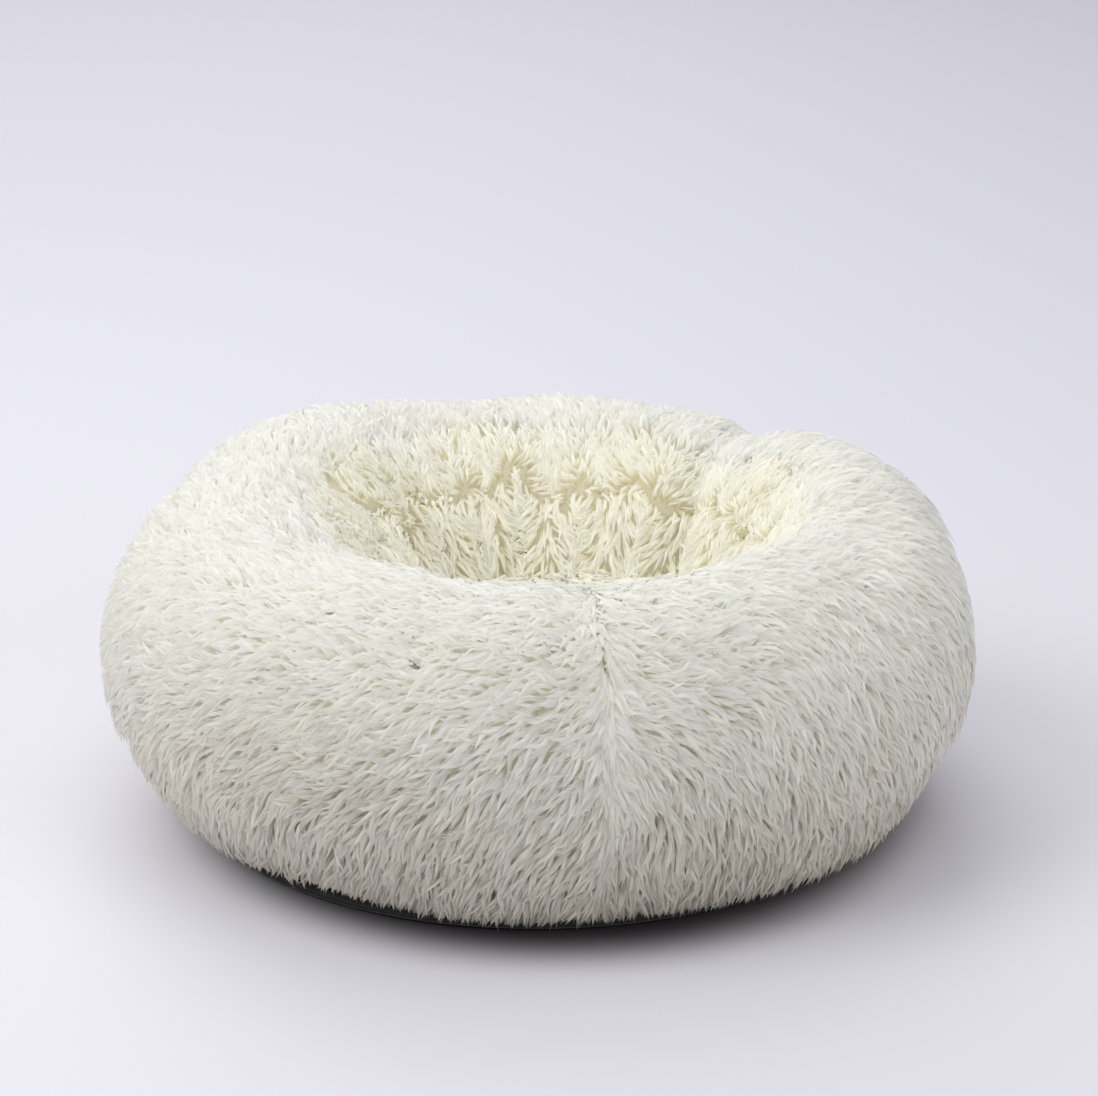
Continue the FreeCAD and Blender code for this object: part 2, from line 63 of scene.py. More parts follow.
# Small turned solids: the radii of their rings, the heights of the rings and of the top, and their sides.
SEAM_STITCH = ((0.0002, 0.00035, 0.00035, 0.0002), (-0.0015, -0.0008, 0.0008, 0.0014, 0.0016), 5)
EDGE_STITCH = ((0.00012, 0.0002, 0.0002), (-0.0012, -0.0006, 0.0006, 0.0012), 5)
HEM_STITCH = ((0.00012, 0.0002, 0.0002), (-0.0013, -0.0007, 0.0007, 0.0013), 5)
GRIP_DOME = ((0.0016, 0.0015, 0.0011), (0.0, 0.00045, 0.00085, 0.00108), 8)

Draw = np.random.Generator
Form = tuple[np.ndarray, list[np.ndarray]]
Colour = tuple[float, float, float]


# ---- meshes from arrays

def linked(name: str, data: bpy.types.ID) -> bpy.types.Object:
    """A new object with its data, linked to the scene."""
    item = bpy.data.objects.new(name, data)
    bpy.context.scene.collection.objects.link(item)
    return item


def mesh_piece(name: str, points: np.ndarray, faces: list[np.ndarray],
               smooth: bool = True) -> bpy.types.Object:
    """Put whole arrays of points and faces into a new mesh object.

    Args:
        name: the object's name.
        points: an array of (count, 3) places.
        faces: arrays of (count, corners) point numbers, one array for each number of corners.
        smooth: whether the faces are shaded smooth.

    Returns:
        The new object, linked to the scene.
    """
    mesh = bpy.data.meshes.new(name)
    corners = np.concatenate([group.ravel() for group in faces]).astype(np.int32)
    counts = np.concatenate([np.full(len(group), group.shape[1]) for group in faces])
    starts = np.concatenate([[0], np.cumsum(counts)[:-1]]).astype(np.int32)
    mesh.vertices.add(len(points))
    mesh.vertices.foreach_set("co", np.ascontiguousarray(points, dtype=np.float32).ravel())
    mesh.loops.add(len(corners))
    mesh.loops.foreach_set("vertex_index", corners)
    mesh.polygons.add(len(counts))
    mesh.polygons.foreach_set("loop_start", starts)
    mesh.polygons.foreach_set("use_smooth", np.full(len(counts), smooth))
    mesh.update(calc_edges=True)
    mesh.validate()
    return linked(name, mesh)


def put_normals(piece: bpy.types.Object, normals: np.ndarray) -> None:
    """Give the points of a mesh their own shading directions."""
    piece.data.normals_split_custom_set_from_vertices(normals.astype(np.float32))


def put_attribute(piece: bpy.types.Object, name: str, values: np.ndarray) -> None:
    """Store one number for each point of a mesh under a name."""
    attribute = piece.data.attributes.new(name, "FLOAT", "POINT")
    attribute.data.foreach_set("value", np.ascontiguousarray(values, dtype=np.float32))


def finish_piece(piece: bpy.types.Object, material: bpy.types.Material, body: str = BED) -> None:
    """Give a piece its material, and let it ride on a body."""
    piece.data.materials.clear()
    piece.data.materials.append(material)
    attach(piece, body)
    LOG.info("%s: %d faces on %s", piece.name, len(piece.data.polygons), body)


def grid_quads(rows: int, columns: int, wrap_rows: bool, wrap_columns: bool) -> np.ndarray:
    """Quads of a grid of points numbered row by row, going forward along the rows, then the columns."""
    row_count = rows if wrap_rows else rows - 1
    column_count = columns if wrap_columns else columns - 1
    row, column = np.meshgrid(np.arange(row_count), np.arange(column_count), indexing="ij")
    next_row = (row + 1) % rows
    next_column = (column + 1) % columns
    quads = [row * columns + column, next_row * columns + column,
             next_row * columns + next_column, row * columns + next_column]
    return np.stack([corner.ravel() for corner in quads], axis=1)


def shell_between(outer: np.ndarray, inner: np.ndarray, wrap: bool) -> Form:
    """A closed shell between two grids of points.

    The section round column direction is the outer column and then the inner column backwards, closed
    into a loop, and that loop is carried along the rows. Open ends of the rows get a strip of quads.

    Args:
        outer: (rows, columns, 3) places of the outer face, whose row x column direction points outwards.
        inner: the same for the inner face.
        wrap: whether the last row joins the first.

    Returns:
        The points and the face arrays.
    """
    loops = np.concatenate([outer, inner[:, ::-1]], axis=1)
    rows, around = loops.shape[:2]
    faces = [grid_quads(rows, around, wrap, True)]
    if not wrap:
        columns = outer.shape[1]
        step = np.arange(columns - 1)
        first = np.stack([step, step + 1, around - 2 - step, around - 1 - step], axis=1)
        last = first[:, ::-1] + (rows - 1) * around
        faces += [first, last]
    return loops.reshape(-1, 3), faces


def swept(path: np.ndarray, across: np.ndarray, section: np.ndarray) -> Form:
    """A closed bar: a flat outline carried along a path, with the outline's height kept upright to both.

    Args:
        path: (rows, 3) places.
        across: (rows, 3) directions of the outline's width.
        section: (corners, 2) widths and heights of the outline, counterclockwise.

    Returns:
        The points and the face arrays.
    """
    along = unit(np.gradient(path, axis=0))
    upward = unit(np.cross(across, along))
    across = unit(np.cross(along, upward))
    points = path[:, None] + across[:, None] * section[None, :, :1] + upward[:, None] * section[None, :, 1:]
    rows, corners = points.shape[:2]
    first = np.arange(corners)[None]
    last = first[:, ::-1] + (rows - 1) * corners
    return points.reshape(-1, 3), [grid_quads(rows, corners, False, True), first, last]


def circle_path(radius: float, height: float, count: int) -> tuple[np.ndarray, np.ndarray]:
    """Places round a circle, with the outward direction at each."""
    turn = around(count)
    outward = np.stack([np.cos(turn), np.sin(turn), np.zeros(count)], axis=1)
    return outward * radius + height * UPWARD, outward


def closed_bar(path: np.ndarray, outward: np.ndarray, outline: np.ndarray,
               thickness: np.ndarray | float = 1.0) -> Form:
    """A closed ring whose section is an outline, its widths outwards and its heights upwards.

    Args:
        path: (count, 3) places round the ring.
        outward: the outward direction at each place.
        outline: (corners, 2) widths and heights.
        thickness: a share of the heights.

    Returns:
        The points and the face arrays.
    """
    wide = outward[:, None] * outline[None, :, :1]
    points = path[:, None] + wide + UPWARD * outline[None, :, 1:] * thickness
    return points.reshape(-1, 3), [grid_quads(len(path), len(outline), True, True)]


def rounded_outline(width: float, height: float, corners: int = 16, squareness: float = 0.45) -> np.ndarray:
    """A rectangle's outline with rounded corners: sines and cosines drawn out towards the square."""
    turn = around(corners)
    side = np.stack([np.cos(turn), np.sin(turn)], axis=1)
    return np.sign(side) * np.abs(side) ** squareness * np.array([width, height]) / 2


def turned_form(radii: tuple, heights: tuple, sides: int) -> Form:
    """A small solid of rings about the Z axis, from its foot up to a point on top, with a flat foot."""
    turn = around(sides)
    rings = np.stack([np.outer(radii, np.cos(turn)), np.outer(radii, np.sin(turn)),
                      np.repeat(np.array(heights[:-1])[:, None], sides, axis=1)], axis=-1)
    points = np.concatenate([rings.reshape(-1, 3), [[0, 0, heights[-1]]]])
    last = (len(radii) - 1) * sides
    side = np.arange(sides)
    cap = np.stack([last + side, last + (side + 1) % sides, np.full(sides, len(points) - 1)], axis=1)
    walls = grid_quads(len(radii), sides, False, True)[:, ::-1]
    return points, [walls, cap, np.arange(sides)[None, ::-1]]


def scattered(form: Form, origins: np.ndarray, axes: np.ndarray) -> tuple:
    """Copies of a small form, each at its own place and turned to its own three axes.

    Args:
        form: the form's points and face arrays.
        origins: (count, 3) places.
        axes: (count, 3, 3) directions of the form's own X, Y and Z, as rows.

    Returns:
        The points and the face arrays of all copies.
    """
    points, faces = form
    placed = origins[:, None] + np.einsum("pk,nkd->npd", points, axes)
    base = (np.arange(len(origins)) * len(points))[:, None, None]
    return placed.reshape(-1, 3), [(group[None] + base).reshape(-1, group.shape[1]) for group in faces]


def copies(name: str, solid: tuple, origins: np.ndarray, axes: np.ndarray) -> bpy.types.Object:
    """One mesh of many copies of a small turned solid."""
    return mesh_piece(name, *scattered(turned_form(*solid), origins, axes))


# ---- small mathematics

def around(count: int) -> np.ndarray:
    """Angles of evenly spaced points round a full turn."""
    return np.linspace(0, FULL_TURN, count, endpoint=False)


def rotated(first: np.ndarray, second: np.ndarray, angle: np.ndarray) -> tuple[np.ndarray, np.ndarray]:
    """The two parts of a direction, turned by an angle."""
    cosine, sine = np.cos(angle), np.sin(angle)
    return first * cosine - second * sine, first * sine + second * cosine


def unit(vectors: np.ndarray) -> np.ndarray:
    """Vectors divided by their lengths along the last axis."""
    return vectors / np.maximum(np.linalg.norm(vectors, axis=-1, keepdims=True), 1e-12)


def bell(offset: np.ndarray, width: float) -> np.ndarray:
    """A bell curve: 1 in the middle, falling away over a width."""
    return np.exp(-(offset / width) ** 2)


def ramp(value: np.ndarray, low: float, high: float) -> np.ndarray:
    """A smooth rise from 0 at low to 1 at high."""
    share = np.clip((value - low) / (high - low), 0.0, 1.0)
    return share * share * (3 - 2 * share)


def turn_between(angle: np.ndarray, start: float) -> np.ndarray:
    """The signed turn from one azimuth to others, between minus half a turn and half a turn."""
    return (angle - start + math.pi) % FULL_TURN - math.pi


@dataclass(frozen=True)
class Ripple:
    """Smooth uneven values over the ring: a sum of waves in the azimuth and the tube's turn."""

    seed: int
    slowest: int = 2
    fastest: int = 9
    waves: int = 14

    def at(self, azimuth: np.ndarray, turn: np.ndarray) -> np.ndarray:
        """Values of about -1 to 1 at pairs of angles."""
        draw = np.random.default_rng(self.seed)
        total = np.zeros(np.broadcast(azimuth, turn).shape)
        for _ in range(self.waves):
            rounds = draw.integers(self.slowest, self.fastest + 1)
            climb = draw.integers(-(self.fastest // 2), self.fastest // 2 + 1)
            total += np.sin(rounds * azimuth + climb * turn + draw.uniform(0, FULL_TURN))
        return total / math.sqrt(self.waves / 2) / 1.6


# ---- surfaces that pile grows on

@dataclass
class GridSurface:
    """A surface kept as a grid of places over two parameters, read between its points by interpolation."""

    places: np.ndarray
    first_range: tuple[float, float]
    second_range: tuple[float, float]
    wraps: bool
    slopes: list[np.ndarray] = field(init=False)

    def __post_init__(self) -> None:
        """Work out how the places change with each parameter."""
        rows, columns = self.places.shape[:2]
        if self.wraps:
            padded = np.concatenate([self.places[-1:], self.places, self.places[:1]])
            first = (padded[2:] - padded[:-2]) / (2 * self.step(0, rows))
        else:
            first = np.gradient(self.places, self.step(0, rows), axis=0)
        second = np.gradient(self.places, self.step(1, columns), axis=1)
        self.slopes = [first, second]

    def step(self, axis: int, count: int) -> float:
        """The parameter's step between grid lines."""
        low, high = (self.first_range, self.second_range)[axis]
        gaps = count if self.wraps and axis == 0 else count - 1
        return (high - low) / gaps

    def read(self, grid: np.ndarray, first: np.ndarray, second: np.ndarray) -> np.ndarray:
        """Values of a grid at pairs of parameters: each is a mix of the four grid points round it."""
        rows, columns = grid.shape[:2]
        row = (first - self.first_range[0]) / self.step(0, rows)
        column = np.clip((second - self.second_range[0]) / self.step(1, columns), 0, columns - 1.001)
        if not self.wraps:
            row = np.clip(row, 0, rows - 1.001)
        row_low = np.floor(row).astype(int)
        column_low = np.floor(column).astype(int)
        row_share = (row - row_low)[..., None]
        column_share = (column - column_low)[..., None]
        row_low, row_high = row_low % rows, (row_low + 1) % rows
        near = grid[row_low, column_low] * (1 - column_share) + grid[row_low, column_low + 1] * column_share
        far = grid[row_high, column_low] * (1 - column_share) + grid[row_high, column_low + 1] * column_share
        return near * (1 - row_share) + far * row_share

    def at(self, first: np.ndarray, second: np.ndarray) -> tuple[np.ndarray, ...]:
        """Places, outward normals and both slopes at pairs of parameters."""
        place = self.read(self.places, first, second)
        along_first = self.read(self.slopes[0], first, second)
        along_second = self.read(self.slopes[1], first, second)
        normal = unit(np.cross(along_first, along_second))
        return place, normal, along_first, along_second


@dataclass(frozen=True)
class RingForm:
    """The stuffed ring: its section is an ellipse, pinched at the seams and uneven like a stuffed tube."""

    outer_radius: float
    throat_radius: float
    top: float
    centre_height: float
    foot_height: float
    nest_seam_height: float
    seam_azimuths: tuple[float, float, float]
    seam_pinch: tuple[float, float, float] = (0.004, 0.017, 0.005)
    seam_width: float = 0.021
    seam_lean: float = -0.030
    throat_shift: float = 0.019
    unevenness: float = 0.0022
    lobes: tuple = ((0.38, 0.40, 0.0110), (2.55, 0.48, 0.0090))
    foot_tuck: float = 0.0055
    gathers: int = 18
    gather_depth: float = 0.0035
    shift_loss: float = 0.65
    pressed_depth: float = 0.004
    pressed_ease: float = 0.006

    @classmethod
    def from_frame(cls) -> "RingForm":
        """Read the ring's size from the panels and the seams of the frame."""
        low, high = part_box("rim_panel_back")
        seams = []
        for side in ("front", "right", "left"):
            seam_low, seam_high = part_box(f"rim_seam_{side}")
            middle = (seam_low + seam_high) / 2
            seams.append(math.atan2(middle.y, middle.x))
        nest_low, nest_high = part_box("nest_panel")
        seams = [seams[0] + cls.seam_lean, *seams[1:]]
        return cls(outer_radius=high.y, throat_radius=nest_high.x, top=high.z, centre_height=0.4865 * high.z,
                   foot_height=low.z, nest_seam_height=nest_low.z, seam_azimuths=tuple(seams))

    @property
    def centre_radius(self) -> float:
        """The middle of the tube, seen from above."""
        return (self.outer_radius + self.throat_radius) / 2

    @property
    def half_width(self) -> float:
        """Half the tube's width at the height of its middle."""
        return (self.outer_radius - self.throat_radius) / 2

    @property
    def half_height(self) -> float:
        """From the tube's middle to its crown."""
        return self.top - self.centre_height

    @property
    def foot_turn(self) -> float:
        """The tube's turn where the panels meet the base."""
        return math.asin((self.foot_height - self.centre_height) / self.half_height)

    @property
    def nest_turn(self) -> float:
        """The tube's turn where the panels meet the nest."""
        return math.pi - math.asin((self.nest_seam_height - self.centre_height) / self.half_height)

    def pinch(self, azimuth: np.ndarray, turn: np.ndarray) -> np.ndarray:
        """How far the seams pull the cloth in: a narrow bell at each seam, weak at the foot."""
        pulled = np.zeros(np.broadcast(azimuth, turn).shape)
        for seam, depth in zip(self.seam_azimuths, self.seam_pinch):
            arc = turn_between(azimuth, seam) * self.centre_radius
            pulled += depth * (0.7 * bell(arc, self.seam_width) + 0.3 * bell(arc, 3 * self.seam_width))
        return pulled * (0.35 + 0.65 * ramp(turn, -0.6, 1.0) * (1 - ramp(turn, 3.3, 4.3)))

    def gather(self, azimuth: np.ndarray, turn: np.ndarray) -> np.ndarray:
        """Puckers round the nest's seam: rounded lobes with sharp creases between, fading up the wall."""
        lobes = np.abs(np.sin(azimuth * self.gathers / 2)) ** 0.7 - 0.75
        return self.gather_depth * lobes * ramp(turn, 2.2, 2.9) * (1 - ramp(turn, 3.3, 4.2))

    def cloth_depth(self, turn: np.ndarray, inset: float) -> np.ndarray:
        """How deep the cloth lies: the inset, but close to the outside near the base and the nest."""
        near_foot = 1 - ramp(turn, self.foot_turn, self.foot_turn + 0.5)
        near_nest = ramp(turn, self.nest_turn - 0.45, self.nest_turn)
        return inset * (1 - 0.82 * np.maximum(near_foot, near_nest))

    def places(self, azimuth: np.ndarray, turn: np.ndarray, inset: np.ndarray,
               lowest: float = 0.0) -> np.ndarray:
        """Places on the ring, drawn in by an inset from the outside of the pile.

        The radius is the tube's middle plus its half width times the cosine of the turn, and the height is
        its middle's plus its half height times the sine, both less the inset, the pinch and the gathers.

        Args:
            azimuth: angles round the bed.
            turn: angles round the tube: 0 outside, a quarter turn at the crown, half a turn at the throat.
            inset: how deep below the outside of the pile the surface lies.
            lowest: the height at which the underside is pressed flat, if above the frame's own.

        Returns:
            An array of places, with one more axis than the angles.
        """
        swell = self.unevenness * Ripple(11).at(azimuth, turn)
        drawn_in = inset + self.pinch(azimuth, turn) - self.gather(azimuth, turn) - swell
        for middle, width, height in self.lobes:
            fullness = height * bell(turn_between(azimuth, middle), width) * ramp(turn, -0.2, 0.9)
            drawn_in = drawn_in - fullness * (1 - ramp(turn, 2.0, 2.8))
        tucked = self.foot_tuck * (1 - 1.6 * bell(turn_between(azimuth, -0.78), 0.62))
        drawn_in = drawn_in + tucked * (1 - ramp(turn, -1.3, -0.35)) * ramp(turn, -2.6, -1.9)
        reach = self.half_width - drawn_in
        rise = self.half_height - drawn_in
        radius = self.centre_radius + reach * np.cos(turn)
        height = self.centre_height + rise * np.sin(turn)
        floor_level = max(self.foot_height, lowest)
        eased = np.exp((height - floor_level - self.pressed_depth) / self.pressed_ease)
        height = np.where(height < floor_level + self.pressed_depth,
                          floor_level + self.pressed_depth * eased, height)
        sides_only = 1 - self.shift_loss * np.sin(azimuth) ** 2
        shift = self.throat_shift * ramp(-np.cos(turn), -0.55, 0.9) * sides_only
        return np.stack([radius * np.cos(azimuth) + shift, radius * np.sin(azimuth), height], axis=-1)

    def grid(self, inset: float, rows: int = 432, columns: int = 120) -> GridSurface:
        """The ring's surface at an inset, from the foot over the crown to the nest's seam."""
        azimuth = around(rows)[:, None]
        turn = np.linspace(self.foot_turn, self.nest_turn, columns)[None, :]
        places = self.places(azimuth, turn, self.cloth_depth(turn, inset))
        return GridSurface(places, (0.0, FULL_TURN), (self.foot_turn, self.nest_turn), True)


@dataclass(frozen=True)
class ClothSwell:
    """The filling's push on the sewn cloth, worked out by cloth simulation with the seams held."""

    pressure: float = 26.0
    growth: float = 0.024
    frames: int = 20
    cap: float = 0.0065
    inward_cap: float = 0.001
    rows: int = 240
    columns: int = 64

    def run(self, form: RingForm, inset: float) -> GridSurface:
        """Swell the ring's cloth from a slightly smaller start and keep its grid.

        Args:
            form: the ring.
            inset: how deep the cloth lies before it swells.
        """
        start = form.grid(inset, self.rows, self.columns)
        points = start.places.reshape(-1, 3)
        cloth = mesh_piece("swelling_cloth", points, [grid_quads(self.rows, self.columns, True, False)])
        self.hold(cloth, form)
        modifier = cloth.modifiers.new("cloth", "CLOTH")
        settings = modifier.settings
        settings.use_pressure = True
        settings.uniform_pressure_force = self.pressure
        settings.vertex_group_mass = "sewn"
        settings.shrink_min = -self.growth
        settings.effector_weights.gravity = 0.0
        modifier.point_cache.frame_end = self.frames
        scene = bpy.context.scene
        for number in range(1, self.frames + 1):
            scene.frame_set(number)
        shown = cloth.evaluated_get(bpy.context.evaluated_depsgraph_get())
        moved = np.empty(len(points) * 3, dtype=np.float32)
        shown.data.vertices.foreach_get("co", moved)
        scene.frame_set(1)
        bpy.data.meshes.remove(cloth.data)
        step = moved.reshape(-1, 3) - points
        far = np.linalg.norm(step, axis=1, keepdims=True)
        LOG.info("cloth moved %.1f mm on average, %.1f mm at most", 1000 * far.mean(), 1000 * far.max())
        step = step * np.minimum(1, self.cap / np.maximum(far, 1e-9))
        azimuth, turn = np.meshgrid(around(self.rows),
                                    np.linspace(form.foot_turn, form.nest_turn, self.columns), indexing="ij")
        normal = start.at(azimuth.ravel(), turn.ravel())[1]
        outward = np.sum(step * normal, axis=1, keepdims=True)
        step = step + normal * (np.maximum(outward, -self.inward_cap) - outward)
        places = (points + step).reshape(start.places.shape)
        return GridSurface(places, start.first_range, start.second_range, True)

    def hold(self, cloth: bpy.types.Object, form: RingForm) -> None:
        """Pin the cloth along the foot, the nest's seam and the three seams."""
        azimuth = around(self.rows)
        held = np.zeros((self.rows, self.columns), dtype=bool)
        held[:, [0, -1]] = True
        for seam in form.seam_azimuths:
            held[np.argmin(np.abs(turn_between(azimuth, seam)))] = True
        group = cloth.vertex_groups.new(name="sewn")
        group.add(np.flatnonzero(held.ravel()).tolist(), 1.0, "REPLACE")


# ---- combing and growing pile

@dataclass(frozen=True)
class Whorl:
    """A spot that the pile falls away from on every side."""

    azimuth: float
    turn: float
    reach: float
    strength: float


@dataclass(frozen=True)
class Comb:
    """Which way the pile lies on the ring: away from the front seam near the crown, down lower on it."""

    form: RingForm
    parting: float = 2.46
    parting_wave: float = 0.09
    parting_blur: float = 0.09
    seam_blur: float = 0.07
    fan: float = 0.5
    fan_lean: float = 0.7
    twist: float = 0.34
    whorls: tuple[Whorl, ...] = (Whorl(-0.62, 0.95, 0.045, 1.8), Whorl(-2.35, 0.95, 0.05, 1.2),
                                 Whorl(1.2, 0.8, 0.05, 1.4), Whorl(2.6, 0.7, 0.05, 1.2))

    def direction(self, azimuth: np.ndarray, turn: np.ndarray) -> tuple[np.ndarray, np.ndarray]:
        """Lengths along the azimuth and along the turn of the direction that the pile is combed.

        Outside, sideways is away from the front seam, strong near the crown, and the rest is down.
        Inside, the pile of the flare fans up out of each pucker, and below an uneven parting it spills
        down each puff.
        Slow ripples and larger whorls turn it all a little.

        Args:
            azimuth: angles round the bed.
            turn: angles round the tube.

        Returns:
            The two parts, as arrays.
        """
        away = turn_between(azimuth, self.form.seam_azimuths[0])
        high = ramp(turn, -0.45, 1.1)
        beside = 0.4 * np.exp(-np.abs(away) / 0.13)
        right = (0.15 + 3.4 * high ** 1.8) * np.exp(-np.abs(away) / 0.45) + 0.08 + beside
        crown_pull = 4.6 * high ** 1.25 * bell(away, 1.6)
        left = -(0.25 + beside + 0.45 * np.tanh(-away / 0.5) + crown_pull)
        sideways = np.where(away > 0, right, left) * np.tanh(np.abs(away) / self.seam_blur)
        inside = ramp(turn, 1.75, 2.15)
        phase = azimuth * self.form.gathers
        fan = self.fan * np.sin(phase) + self.fan_lean * ramp(azimuth % FULL_TURN, 1.75, 2.4)
        sideways = sideways * (1 - inside) + inside * fan
        wave = self.parting_wave * Ripple(37, 5, 30).at(azimuth, turn)
        parting = self.parting - 0.05 * np.cos(phase) + wave
        fall = -np.tanh((parting - turn) / self.parting_blur)
        puff = ramp(turn, parting, parting + 0.16)
        sideways = sideways * (1 - puff) - puff * np.sin(phase)
        for whorl in self.whorls:
            across = turn_between(azimuth, whorl.azimuth) * self.form.centre_radius
            along = (turn - whorl.turn) * self.form.half_height
            pull = whorl.strength * np.exp(-(across ** 2 + along ** 2) / whorl.reach ** 2)
            sideways = sideways + pull * across / whorl.reach
            fall = fall + pull * along / whorl.reach
        twist = self.twist * Ripple(23, 3, 14).at(azimuth, turn)
        twist = twist + (0.24 + 0.2 * inside) * Ripple(29, 18, 40).at(azimuth, turn)
        turned = rotated(sideways, fall, twist)
        length = np.maximum(np.hypot(*turned), 1e-6)
        return turned[0] / length, turned[1] / length


@dataclass(frozen=True)
class Pile:
    """The measures of one band of pile: tufts of a thick lock and finer hairs that share its path."""

    tuft_area: float
    length: float
    lift: float
    lock_width: float = 0.0027
    hair_width: float = 0.0010
    hairs: int = 2
    spread: float = 0.0022
    stand: float = 0.25
    wave: float = 0.0011
    droop: float = 0.002
    crispness: float = 0.3
    catch: float = 0.0
    seed: int = 1


@dataclass
class Tufts:
    """Paths of many tufts, with the frame along each, ready to be given bodies."""

    places: np.ndarray
    across: np.ndarray
    under: np.ndarray
    outward: np.ndarray
    tone: np.ndarray
    warmth: np.ndarray
    # painted shade: 1 near the floor, where the pile is darkened, 0 higher up
    foot_shade: np.ndarray


LOWEST_TIP = 0.0009
LOCK_RINGS = (0.0, 0.36, 0.72)
HAIR_RINGS = (0.0, 0.55)
SECTION_TURNS = np.radians([-90.0, 30.0, 150.0])


